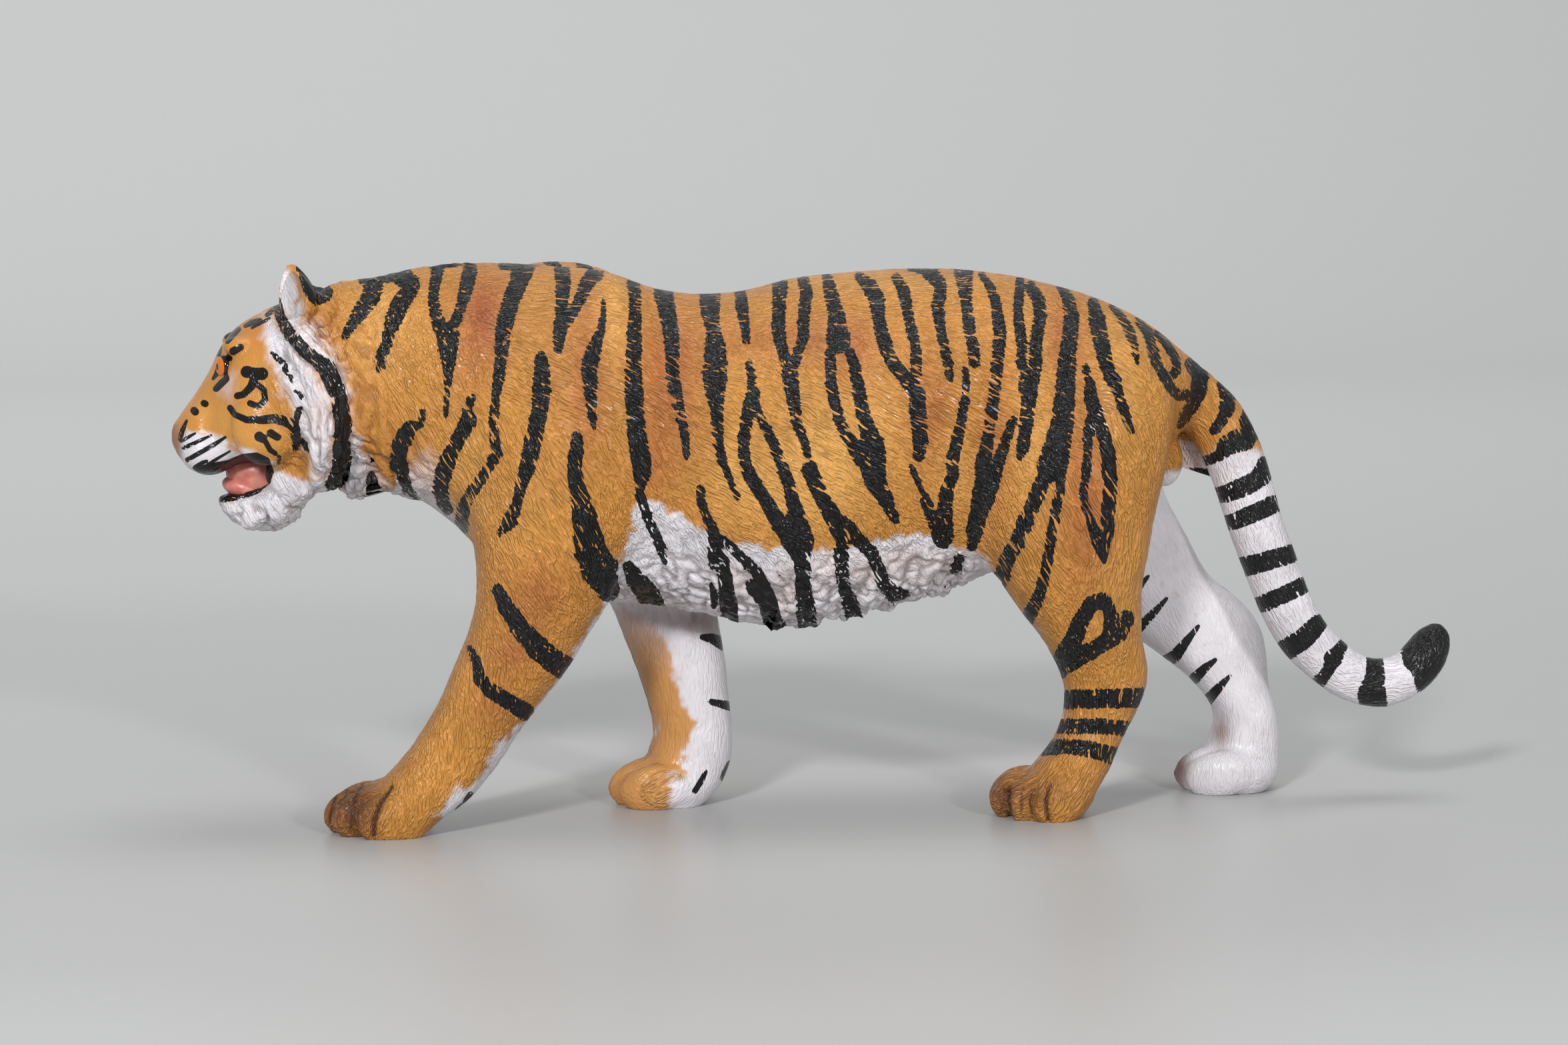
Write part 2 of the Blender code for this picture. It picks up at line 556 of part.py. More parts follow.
def flat_soles(tiger, cutters):
    """Cuts away what reaches below the floor, so that the figure stands on flat soles."""
    length, width, depth = 200, 80, 20
    shape = bmesh.new()
    bmesh.ops.create_cube(shape, size=1.0)
    for vert in shape.verts:
        vert.co = (vert.co.x * length * MM, vert.co.y * width * MM, (vert.co.z - 0.5) * depth * MM)
    mesh = bpy.data.meshes.new("floor_cutter")
    shape.to_mesh(mesh)
    shape.free()
    cutter = add_object("floor_cutter", mesh, cutters)
    cutter.hide_render = True
    cutter.display_type = "WIRE"
    cut = tiger.modifiers.new("flat_soles", "BOOLEAN")
    cut.operation = "DIFFERENCE"
    cut.solver = "EXACT"
    cut.object = cutter


def coat():
    material = bpy.data.materials.new("painted_coat")
    material.use_nodes = True
    shader = material.node_tree.nodes["Principled BSDF"]
    shader.inputs["Base Color"].default_value = COAT_COLOUR
    shader.inputs["Roughness"].default_value = COAT_ROUGHNESS
    shader.inputs["Metallic"].default_value = 0.0
    return material


def main():
    clear_scene()
    parts, cutters = new_collection("tiger_figurine"), new_collection("cutters")
    tiger = figurine(parts)
    flat_soles(tiger, cutters)
    tiger.data.materials.clear()
    tiger.data.materials.append(coat())


main()
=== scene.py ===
"""Looks of a walking tiger figurine: fur carved into one moulded skin, and a coat painted by hand.

Places are millimetres in the frame's axes: the tiger faces -X, its left side is towards -Y and it stands
on Z = 0. Marks of the coat are named by where they show in the photograph, as x, y and width in pixels,
and the photograph's own camera carries them onto the skin.
"""
import bmesh
import bpy
import numpy as np
from mathutils import Matrix


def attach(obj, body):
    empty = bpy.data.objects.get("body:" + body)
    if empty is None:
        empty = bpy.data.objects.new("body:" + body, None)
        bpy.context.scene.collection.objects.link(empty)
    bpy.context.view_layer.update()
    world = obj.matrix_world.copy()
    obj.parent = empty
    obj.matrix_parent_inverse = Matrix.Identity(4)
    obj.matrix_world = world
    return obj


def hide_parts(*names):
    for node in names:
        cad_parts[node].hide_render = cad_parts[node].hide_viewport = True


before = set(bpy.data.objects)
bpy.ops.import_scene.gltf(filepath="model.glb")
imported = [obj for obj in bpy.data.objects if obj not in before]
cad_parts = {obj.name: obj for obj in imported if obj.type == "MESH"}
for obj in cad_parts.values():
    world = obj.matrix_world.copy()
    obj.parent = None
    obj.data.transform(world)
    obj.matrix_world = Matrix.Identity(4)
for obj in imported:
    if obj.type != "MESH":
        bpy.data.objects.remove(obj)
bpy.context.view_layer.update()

MM = 0.001

# Driving sizes of the figure, the same as the solid's
NOSE_X, HEAD_LENGTH, SHOULDER_X, RUMP_X = -65.9, 16.6, -34.5, 39.0
WITHERS_Z, BACK_Z, BELLY_Z, CHEST_Z, CROWN_Z, NOSE_Z, SOLE_CUT = 57.3, 56.4, 20.0, 23.0, 54.2, 40.0, 0.8
SHOULDER_HALF_WIDTH, BARREL_HALF_WIDTH, LOIN_HALF_WIDTH = 14.0, 13.6, 13.0
NECK_HALF_WIDTH, HEAD_HALF_WIDTH, MUZZLE_HALF_WIDTH, JAW_HALF_WIDTH = 9.7, 9.6, 4.4, 4.0
LEFT_FORE_TOE_X, RIGHT_FORE_TOE_X, LEFT_HIND_TOE_X, RIGHT_HIND_TOE_X = -51.3, -21.5, 16.3, 38.7
FORE_STANCE, HIND_STANCE = 6.6, 6.9
FORELEG_HALF_THICKNESS, HIND_LEG_HALF_THICKNESS = 4.4, 4.1
TOE_LENGTH, TOE_WIDTH, TOE_HEIGHT, TOE_SPREAD, FORE_TOE_OUT, HIND_TOE_OUT = 7.4, 3.2, 5.0, 2.45, 14.0, 22.0
TAIL_RADIUS, TAIL_SWAY = 2.75, -1.6
EAR_HEIGHT, EAR_WIDTH, EAR_DEPTH, EAR_SPACING = 5.8, 5.0, 2.6, 6.2
MOUTH_GAPE, RUFF_RADIUS, RUFF_SPACING, EYE_RADIUS, EYE_SPACING = 2.4, 2.0, 8.6, 1.15, 3.9
HEAD_X = NOSE_X + HEAD_LENGTH

# From the lofts' own axes to the frame's
SET_DOWN = np.array([-0.318, -0.026, -SOLE_CUT])

# Fineness of the skin: the body, the head, and where one gives way to the other
SOFT_VOXEL, BODY_VOXEL, HEAD_VOXEL = 0.45, 0.235, 0.165
NECK_CUT_X, BARREL_CUT_X, LOIN_CUT_X, TAIL_CUT_X, SIDE_CUT_Y = -46.8, -6.0, 11.5, 52.0, 1.7
NECK_OVERLAP = 0.4

# The camera that took the photograph
IMAGE_WIDTH, IMAGE_HEIGHT = 2352, 1568
CAMERA_DISTANCE, CAMERA_ELEVATION, CAMERA_AZIMUTH = 440.0, 6.5, 8.0
CAMERA_TARGET = np.array([-4.32, -0.03, 29.8])
PIXELS_PER_MM = 14.7
# How far the tail's marks are drawn towards its middle line
BANDS_DRAWN_IN = 0.22
SENSOR_WIDTH = 36.0

# Paints, as linear red, green and blue
ORANGE = (0.530, 0.232, 0.045)
LIGHT_ORANGE = (0.650, 0.325, 0.080)
RED_BROWN = (0.370, 0.105, 0.032)
WHITE = (0.680, 0.650, 0.680)
PINK_WHITE = (0.620, 0.470, 0.430)
NOSE_PINK = (0.330, 0.150, 0.100)
TOE_BROWN = (0.210, 0.075, 0.030)
# Near-black painted shade for the creases between the toes
TOE_CREASE_SHADE = (0.050, 0.015, 0.012)
SHADE = (0.450, 0.360, 0.380)
# Painted shade for the grooves between locks of fur, on orange and on white
GROOVE_SHADE_ON_ORANGE = (0.300, 0.110, 0.025)
GROOVE_SHADE_ON_WHITE = (0.250, 0.200, 0.200)
FLECK_BROWN = (0.350, 0.160, 0.060)
BLACK = (0.006, 0.006, 0.006)


def smooth_rows(rows, steps):
    """Catmull-Rom curve through the rows of a table, with the given number of steps between two rows."""
    rows = np.asarray(rows, float)
    padded = np.vstack([2 * rows[0] - rows[1], rows, 2 * rows[-1] - rows[-2]])
    t = np.arange(steps)[:, None] / steps
    spans = [0.5 * (2 * b + (c - a) * t + (2 * a - 5 * b + 4 * c - d) * t**2
                    + (3 * b - a - 3 * c + d) * t**3)
             for a, b, c, d in zip(padded, padded[1:], padded[2:], padded[3:])]
    return np.vstack(spans + [rows[-1:]])


def closed_skin(rings):
    """Points and faces of a (rings, sides, 3) grid whose two ends close on the middle of their ring."""
    count, sides = rings.shape[:2]
    points = np.vstack([rings.reshape(-1, 3), rings[0].mean(0), rings[-1].mean(0)])
    i, j = np.meshgrid(np.arange(count - 1), np.arange(sides), indexing="ij")
    k = (j + 1) % sides
    quads = np.stack([i * sides + j, i * sides + k, (i + 1) * sides + k, (i + 1) * sides + j], 2)
    j = np.arange(sides)
    k = (j + 1) % sides
    last = (count - 1) * sides
    first_fan = np.stack([np.full(sides, count * sides), k, j], 1)
    last_fan = np.stack([np.full(sides, count * sides + 1), last + j, last + k], 1)
    return points, quads.reshape(-1, 4).tolist() + first_fan.tolist() + last_fan.tolist()


def loft(rows, boxiness, sides=64, steps=7):
    """Rings through rows of centre, upper, lower and side half axes.

    A ring's point at turn t is centre + side * c|c|^(2/b - 1) + (upper or lower) * |s|^(2/b), where c and s
    are the cosine and sine of t and b is the boxiness, 2 for an ellipse.
    """
    table = smooth_rows(rows, steps)
    centre, upper, lower, side = (table[:, None, 3 * i:3 * i + 3] for i in range(4))
    turn = np.linspace(0, 2 * np.pi, sides, endpoint=False)[None, :, None]
    across = np.sign(np.cos(turn)) * np.abs(np.cos(turn)) ** (2 / boxiness)
    up = np.abs(np.sin(turn)) ** (2 / boxiness)
    return closed_skin(centre + side * across + np.where(np.sin(turn) >= 0, upper, lower) * up)


def upright_loft(stations, boxiness=2.15):
    """Loft along X. Each station is x, top, bottom, half width and the height of its widest point."""
    return loft([(x, 0, wide, 0, 0, top - wide, 0, 0, bottom - wide, 0, half, 0)
                 for x, top, bottom, half, wide in stations], boxiness)


def leg_loft(stations, side):
    """Loft down Z. A station is z, front x, rear x, distance from the middle plane and half thickness."""
    return loft([((front + rear) / 2, side * out, z, (rear - front) / 2, 0, 0, (front - rear) / 2, 0, 0,
                  0, half, 0) for z, front, rear, out, half in stations], 2.2)


def tube_loft(stations):
    """Round loft along a path close to the X-Z plane. Each station is x, y, z and radius."""
    path = np.asarray(stations, float)
    along = np.gradient(path[:, [0, 2]], axis=0)
    along /= np.linalg.norm(along, axis=1)[:, None]
    return loft([(x, y, z, dz * r, 0, -dx * r, -dz * r, 0, dx * r, 0, r, 0)
                 for (x, y, z, r), (dx, dz) in zip(path, along)], 2.0)


def ball(centre, half_sizes, turn=0.0, droop=0.0):
    """Ellipsoid: centre + R(half_sizes * (cos u cos v, cos u sin v, sin u)), R a droop and then a turn."""
    u = np.linspace(-np.pi / 2, np.pi / 2, 26)[1:-1, None]
    v = np.linspace(0, 2 * np.pi, 40, endpoint=False)[None]
    x, y, z = (part * half for part, half in zip((np.cos(u) * np.cos(v), np.cos(u) * np.sin(v),
                                                  np.sin(u) + 0 * v), half_sizes))
    tip, swing = np.radians(droop), np.radians(turn)
    x, z = x * np.cos(tip) + z * np.sin(tip), z * np.cos(tip) - x * np.sin(tip)
    x, y = x * np.cos(swing) - y * np.sin(swing), x * np.sin(swing) + y * np.cos(swing)
    return closed_skin(np.stack([x, y, z], 2) + np.array(centre))


def pair(centre, half_sizes, turn=0.0, droop=0.0):
    """The same ball on the left and on the right, the right one's turn mirrored."""
    x, y, z = centre
    return [ball((x, side * y, z), half_sizes, -side * turn, droop) for side in (-1, 1)]


def ear_axes(side):
    """The way the ear's bowl faces, its width and its height, as three unit vectors."""
    facing = np.array([-0.86, side * 0.47, 0.18])
    facing /= np.linalg.norm(facing)
    wide = np.cross([0, 0, 1], facing)
    wide /= np.linalg.norm(wide)
    return facing, wide, np.cross(facing, wide)


def ear(centre, side):
    """Cupped ear: a unit ball whose front is a rim x^0.3 less a bowl 1 - y^2 - z^2, leaning back."""
    rim, bowl, lean = 0.55, 1.35, 0.16
    facing, wide, tall = ear_axes(side)
    u = np.linspace(-np.pi / 2, np.pi / 2, 50)[1:-1, None]
    v = np.linspace(0, 2 * np.pi, 72, endpoint=False)[None]
    x, y, z = np.cos(u) * np.cos(v), np.cos(u) * np.sin(v), np.sin(u) + 0 * v
    inside = np.maximum(0, 1 - y * y - z * z)
    depth = np.where(x > 0, rim * np.maximum(x, 0)**0.3 - bowl * inside, x * EAR_DEPTH * (1 - 0.45 * z))
    narrow = 1 - 0.22 * np.maximum(z, 0)
    return closed_skin(np.array(centre) + facing * (depth + lean * z * EAR_HEIGHT / 2)[..., None]
                       + wide * (y * narrow * EAR_WIDTH / 2)[..., None]
                       + tall * (z * EAR_HEIGHT / 2)[..., None])


def paw(front, stance, side, toe_out):
    """A paw's four toes and its pad. front is the x of the leading toe."""
    out = np.radians(toe_out)
    forward = np.array([-np.cos(out), side * np.sin(out)])
    across = np.array([forward[1], -forward[0]]) * side
    tip = np.array([front + TOE_LENGTH / 2, side * stance])
    toe_z = SOLE_CUT + TOE_HEIGHT / 2 - 0.4
    made = []
    for place, setback in ((-1.5, 1.5), (-0.5, 0.0), (0.5, 0.2), (1.5, 2.0)):
        x, y = tip + across * place * TOE_SPREAD - forward * setback
        half_sizes = (TOE_LENGTH / 2, TOE_WIDTH / 2, TOE_HEIGHT / 2)
        made.append(ball((x, y, toe_z), half_sizes, -side * toe_out, -12))
    x, y = tip - forward * (TOE_LENGTH / 2 - 0.5)
    made.append(ball((x, y, SOLE_CUT + TOE_HEIGHT * 0.44),
                     (TOE_LENGTH / 2 + 0.5, TOE_SPREAD * 1.9, TOE_HEIGHT * 0.64), -side * toe_out, -8))
    return made


def trunk():
    """Neck and trunk, from inside the head to the rump."""
    shoulder, barrel, loin, neck = SHOULDER_HALF_WIDTH, BARREL_HALF_WIDTH, LOIN_HALF_WIDTH, NECK_HALF_WIDTH
    back, withers, belly, chest = BACK_Z, WITHERS_Z, BELLY_Z, CHEST_Z
    reach = SHOULDER_X - HEAD_X
    return upright_loft([
        (HEAD_X - 4.7, CROWN_Z - 2.4, NOSE_Z - 1.0, neck - 4.5, 46.0),
        (HEAD_X - 0.7, CROWN_Z + 0.9, NOSE_Z - 3.2, neck - 0.8, 45.4),
        (HEAD_X + 0.22 * reach, CROWN_Z + 1.6, NOSE_Z - 4.8, neck, 44.8),
        (HEAD_X + 0.49 * reach, withers - 0.7, NOSE_Z - 6.0, neck + 1.5, 44.2),
        (HEAD_X + 0.76 * reach, withers - 0.1, chest + 8.4, shoulder - 1.4, 43.4),
        (SHOULDER_X, withers, chest + 4.6, shoulder - 0.8, 42.5),
        (SHOULDER_X + 3.5, withers - 0.1, chest + 1.6, shoulder - 0.2, 41.5),
        (-27.0, withers - 0.4, chest + 0.3, shoulder, 40.5),
        (-22.0, withers - 1.0, chest, shoulder - 0.5, 39.5),
        (-17.5, back - 1.7, chest - 0.4, barrel - 0.8, 38.6),
        (-13.0, back - 2.4, chest - 1.3, barrel - 0.7, 38.0),
        (-8.0, back - 2.1, belly + 0.6, barrel - 0.3, 37.6),
        (-3.0, back - 0.9, belly, barrel, 37.5),
        (3.0, back - 0.3, belly + 1.2, barrel - 0.1, 38.0),
        (9.0, back, belly + 2.4, loin + 0.1, 39.0),
        (15.0, back - 0.2, belly + 4.4, loin - 0.2, 40.5),
        (21.0, back - 1.1, belly + 7.4, loin - 0.2, 42.0),
        (RUMP_X - 12.0, back - 2.7, belly + 11.4, loin - 0.8, 43.0),
        (RUMP_X - 7.5, back - 4.6, belly + 14.4, loin - 2.4, 43.8),
        (RUMP_X - 4.0, back - 6.7, belly + 17.4, loin - 5.0, 44.0),
        (RUMP_X - 1.6, back - 8.7, belly + 20.2, loin - 7.8, 44.2),
        (RUMP_X - 0.3, back - 10.6, belly + 23.0, loin - 10.8, 44.5),
    ])


def skull():
    """Skull and upper jaw, from the nose to the back of the cheeks."""
    head, muzzle, nose, crown = HEAD_HALF_WIDTH, MUZZLE_HALF_WIDTH, NOSE_Z, CROWN_Z
    return upright_loft([
        (NOSE_X + 0.2, nose + 0.9, nose - 0.4, muzzle - 3.4, nose + 0.2),
        (NOSE_X + 0.7, nose + 1.8, nose - 1.5, muzzle - 2.2, nose),
        (NOSE_X + 1.5, nose + 3.0, nose - 2.5, muzzle - 1.1, nose),
        (NOSE_X + 2.6, nose + 4.5, nose - 3.4, muzzle - 0.3, nose),
        (NOSE_X + 3.9, nose + 6.6, nose - 3.7, muzzle, nose + 0.2),
        (NOSE_X + 5.2, nose + 9.2, nose - 3.4, muzzle + 1.1, nose + 1.6),
        (NOSE_X + 6.8, nose + 11.1, nose - 2.6, muzzle + 2.7, nose + 3.0),
        (NOSE_X + 8.9, crown - 1.8, nose - 2.6, head - 1.4, nose + 3.8),
        (HEAD_X - 5.7, crown - 0.9, nose - 3.8, head - 0.4, nose + 4.0),
        (HEAD_X - 3.7, crown - 0.3, nose - 4.6, head, nose + 4.0),
        (HEAD_X - 1.7, crown, nose - 4.8, head - 0.3, nose + 3.6),
        (HEAD_X, crown - 0.4, nose - 4.2, head - 1.5, nose + 3.2),
        (HEAD_X + 1.1, crown - 2.2, nose - 3.0, head - 3.6, nose + 3.2),
        (HEAD_X + 1.7, crown - 5.2, nose, head - 6.4, nose + 3.6),
    ], 2.1)


def jaw():
    """Lower jaw and chin, hung a mouth's gape below the upper lip."""
    half = JAW_HALF_WIDTH
    lip = NOSE_Z - 3.3 - MOUTH_GAPE
    return upright_loft([
        (NOSE_X + 4.8, lip - 0.2, lip - 0.9, half - 2.9, lip - 0.5),
        (NOSE_X + 5.3, lip, lip - 1.8, half - 1.9, lip - 0.9),
        (NOSE_X + 6.3, lip + 0.3, lip - 2.6, half - 1.1, lip - 1.2),
        (NOSE_X + 7.5, lip + 0.7, lip - 3.4, half - 0.6, lip - 1.2),
        (NOSE_X + 8.9, lip + 1.2, lip - 3.6, half - 0.1, lip - 0.9),
        (NOSE_X + 10.4, lip + 2.1, lip - 3.3, half + 0.7, lip - 0.2),
        (NOSE_X + 12.4, lip + 3.6, lip - 1.8, half + 1.7, lip + 1.2),
        (NOSE_X + 14.4, lip + 5.0, lip - 0.1, half + 2.2, lip + 2.8),
        (NOSE_X + 16.4, lip + 6.0, lip + 1.2, half + 1.8, lip + 4.0),
    ])


# Legs: height, front and rear edge behind the leading toe, and what is added to stance and half thickness
FORELEG_STRETCHED = (
    (48, 17.8, 28.3, 1, 0.2), (42, 14.7, 30.7, 1.7, 1.2), (36, 14.3, 31.5, 2, 1.5),
    (31, 14.8, 30.8, 2, 1.5), (27.2, 15.2, 29.5, 1.9, 1.3), (24, 15.2, 28.5, 1.7, 1),
    (20.8, 14.4, 26.5, 1.3, 0.7), (17.4, 13, 24.5, 1, 0.4), (14, 11.6, 21.9, 0.7, 0.1),
    (10.8, 9.7, 19.5, 0.4, 0), (8.4, 8, 18, 0.2, 0), (6, 5.8, 16.2, 0.1, 0.2), (4, 4.4, 14.4, 0, 0.3),
    (2.2, 3.9, 11.8, 0, 0.2), (0, 4.4, 9.8, 0, -0.4),
)
FORELEG_STANDING = (
    (48, -9.5, 1, 1, 0.2), (42, -11.1, 4.1, 1.7, 1.2), (36, -10.1, 6.3, 2, 1.4), (31, -7.5, 8.3, 2, 1.3),
    (26.5, -3.7, 10.3, 1.7, 1), (22, 0.1, 11.1, 1.1, 0.5), (18.6, 1.6, 11.8, 0.6, 0.2),
    (15.2, 2.9, 12.3, 0.3, 0), (11.6, 4.1, 12.6, 0.1, -0.1), (8.2, 4.8, 12.9, 0, 0),
    (5.8, 4.1, 12.9, 0, 0.2), (3.6, 3.3, 12.2, 0, 0.3), (2, 3.1, 11.2, 0, 0.2), (0, 3.5, 9.1, 0, -0.4),
)
HIND_LEG_FORWARD = (
    (50, 4.2, 15.2, 0.4, 0.4), (44, -0.3, 18.3, 1, 1.8), (38, -2.1, 17.9, 1.4, 2.4),
    (32.5, -2.3, 16.4, 1.6, 2.5), (28.5, -1.5, 15.7, 1.6, 2.2), (24.9, 0.8, 15.1, 1.4, 1.7),
    (22, 2.9, 15.1, 1.1, 1.2), (19, 5.2, 15.3, 0.8, 0.7), (15.8, 7, 16, 0.4, 0.1),
    (13.2, 7.6, 15.6, 0.2, -0.3), (10.4, 7.2, 14.3, 0.1, -0.4), (8, 6, 13.1, 0, 0),
    (5.8, 4.3, 12.2, 0, 0.4), (3.8, 3.2, 11, 0, 0.5), (2, 3, 9.9, 0, 0.3), (0, 3.4, 8.2, 0, -0.4),
)
HIND_LEG_BACKWARD = (
    (50, -17.7, -7.2, 0.4, 0.4), (44, -21.7, -3.5, 1, 1.8), (38, -22.1, -2.9, 1.4, 2.4),
    (32, -20.7, -1.1, 1.6, 2.5), (27.5, -17.9, 1.3, 1.4, 2), (23.6, -14.1, 3.5, 1, 1.3),
    (20.6, -9.7, 7.1, 0.7, 0.7), (17.8, -5.5, 9.1, 0.4, 0.2), (15, -1.5, 9.7, 0.2, -0.1),
    (12, 2.1, 9.9, 0.1, -0.2), (9, 4.2, 10.6, 0, 0), (6.4, 3.9, 11.1, 0, 0.3), (4, 2.9, 11, 0, 0.4),
    (2.2, 2.6, 10, 0, 0.2), (0, 2.9, 8.3, 0, -0.4),
)


def leg(table, toe_x, stance, thickness, side):
    """A leg from its table, set behind the leading toe and out at its stance."""
    return leg_loft([(z, toe_x + front, toe_x + rear, stance + out, thickness + half)
                     for z, front, rear, out, half in table], side)


# Tail, from inside the rump to the tip: x behind the rump, share of the sway, height and added radius
TAIL = (
    (-5.5, 0, 0.4, 1.3), (-3, 0, -0.2, 1.15), (-1, 0, -1.3, 0.8), (0.9, 0.1, -2.7, 0.45),
    (2.4, 0.3, -4.8, 0.35), (3.6, 0.5, -7.2, 0.3), (4.6, 0.7, -10, 0.25), (5.4, 0.9, -12.8, 0.15),
    (6.2, 1, -15.4, 0.1), (7.3, 1, -18.1, 0.1), (8.4, 1, -21, 0.05), (9.7, 1, -23.9, 0),
    (11.5, 0.9, -26.7, -0.05), (13.8, 0.7, -28.9, -0.15), (16.7, 0.5, -30.9, -0.2),
    (20.1, 0.3, -31.6, -0.2), (22.9, 0.2, -30.6, -0.35), (24.6, 0.1, -28.9, -0.4), (25.6, 0, -27.1, -0.8),
    (25.9, 0, -25.9, -1.6), (25.9, 0, -25.4, -2.4),
)


def tail_rows():
    """The tail's stations: x, y, z and radius."""
    return [(RUMP_X + x, TAIL_SWAY * sway, BACK_Z - 12.0 + z, TAIL_RADIUS + r) for x, sway, z, r in TAIL]


def ruff(side):
    """The fur crest that runs from the ear down behind the cheek."""
    y, r = RUFF_SPACING * side, RUFF_RADIUS
    return tube_loft([
        (HEAD_X - 4.6, y * 0.78, NOSE_Z + 12.4, r - 0.9), (HEAD_X - 3.6, y * 0.93, NOSE_Z + 10.4, r - 0.3),
        (HEAD_X - 2.2, y * 1.0, NOSE_Z + 7.9, r), (HEAD_X - 1.4, y * 1.01, NOSE_Z + 5.0, r + 0.1),
        (HEAD_X - 1.2, y * 0.98, NOSE_Z + 1.6, r + 0.1), (HEAD_X - 1.3, y * 0.89, NOSE_Z - 1.4, r),
        (HEAD_X - 1.5, y * 0.76, NOSE_Z - 3.7, r - 0.4), (HEAD_X - 1.7, y * 0.68, NOSE_Z - 4.9, r - 1.2),
    ])


EAR_X, EAR_Z = NOSE_X + 12.4, CROWN_Z - 0.1
EYE_PLACE = (NOSE_X + 5.6, EYE_SPACING - 0.75, NOSE_Z + 7.4)
EYE_TURN = 24.0


def head_forms():
    """Skull, jaw, ears, ruff, brows, whisker pads, cheeks and the nose's pad."""
    return [
        skull(), jaw(), ball((NOSE_X + 1.2, 0, NOSE_Z + 0.8), (0.95, 1.8, 1.2)),
        ear((EAR_X, -EAR_SPACING, EAR_Z), -1), ear((EAR_X, EAR_SPACING, EAR_Z), 1),
        *pair((EAR_X + 2.4, EAR_SPACING - 0.6, EAR_Z - 1.5), (EAR_WIDTH / 2, 1.9, 2.1), droop=35),
        ruff(-1), ruff(1),
        *pair((NOSE_X + 3.5, MUZZLE_HALF_WIDTH - 1.8, NOSE_Z - 0.9), (2.6, 2.5, 2.4)),
        *pair((NOSE_X + 7.1, EYE_SPACING, NOSE_Z + 9.4), (1.8, 1.8, 1.1), turn=20),
        *pair(EYE_PLACE, (EYE_RADIUS * 0.55, EYE_RADIUS * 1.15, EYE_RADIUS * 1.15), EYE_TURN),
        *pair((NOSE_X + 9.6, HEAD_HALF_WIDTH - 3.2, NOSE_Z + 1.8), (3.6, 2.7, 4.0)),
        *pair((NOSE_X + 12.0, 4.4, NOSE_Z - 3.2), (2.7, 1.8, 2.6)),
    ]


def throat_tufts():
    """Tufts of fur under the neck, which give its lower outline three soft steps."""
    reach = SHOULDER_X - HEAD_X
    return [ball((HEAD_X + share * reach, 0, z), (2.1, NECK_HALF_WIDTH * 0.47, 2.1), droop=35)
            for share, z in ((0.14, NOSE_Z - 4.2), (0.52, NOSE_Z - 4.4), (0.80, NOSE_Z - 6.4))]


def mesh_of(name, points, faces):
    """A mesh from points in millimetres."""
    mesh = bpy.data.meshes.new(name)
    mesh.from_pydata((np.asarray(points) * MM).tolist(), [], faces)
    return mesh


def placed(name, data):
    """A new object in the scene."""
    item = bpy.data.objects.new(name, data)
    bpy.context.scene.collection.objects.link(item)
    return item


def joined(skins):
    """Points and faces of several closed skins as one list."""
    starts = np.cumsum([0] + [len(points) for points, _ in skins]).tolist()
    return np.vstack([points for points, _ in skins]), [
        [start + corner for corner in face] for start, (_, faces) in zip(starts, skins) for face in faces]


def fused(skins, voxel):
    """Points and quads of one skin round everything in a list of closed skins."""
    item = placed("clay", mesh_of("clay", *joined(skins)))
    remesh = item.modifiers.new("fuse", "REMESH")
    remesh.mode = "VOXEL"
    remesh.voxel_size = voxel * MM
    bpy.context.view_layer.update()
    mesh = item.evaluated_get(bpy.context.evaluated_depsgraph_get()).to_mesh()
    co = np.empty(len(mesh.vertices) * 3, np.float32)
    mesh.vertices.foreach_get("co", co)
    corners = np.empty(len(mesh.loops), np.int32)
    mesh.loops.foreach_get("vertex_index", corners)
    bpy.data.objects.remove(item)
    return co.reshape(-1, 3).astype(float) / MM, corners.reshape(-1, 4).astype(int)


def softened(points, quads, rounds, weight=1.0, share=0.5):
    """Each point moves a share of the way to the mean of its neighbours, round after round."""
    ends = np.roll(quads, -1, 1).ravel()
    starts = quads.ravel()
    count = np.bincount(starts, minlength=len(points))[:, None]
    pull = share * (weight[:, None] if np.ndim(weight) else weight)
    for _ in range(rounds):
        total = np.stack([np.bincount(starts, points[ends, i], len(points)) for i in range(3)], 1)
        points = points + pull * (total / count - points)
    return points


def normals_of(points, quads):
    """Unit normals: the cross products of each quad's diagonals, summed at its corners."""
    a, b, c, d = (points[quads[:, i]] for i in range(4))
    face = np.cross(c - a, d - b)
    at, face = quads.ravel(), np.repeat(face, 4, 0)
    total = np.stack([np.bincount(at, face[:, i], len(points)) for i in range(3)], 1)
    return total / np.maximum(np.linalg.norm(total, axis=1), 1e-12)[:, None]


def near(points, places):
    """How near each point is to any x, y, z and reach: 1 within half the reach, 0 beyond it."""
    weight = np.zeros(len(points))
    for x, y, z, reach in places:
        share = 1 - np.linalg.norm(points - np.array([x, y, z]), axis=1) / reach
        weight = np.maximum(weight, np.clip(share * 2, 0, 1))
    return weight


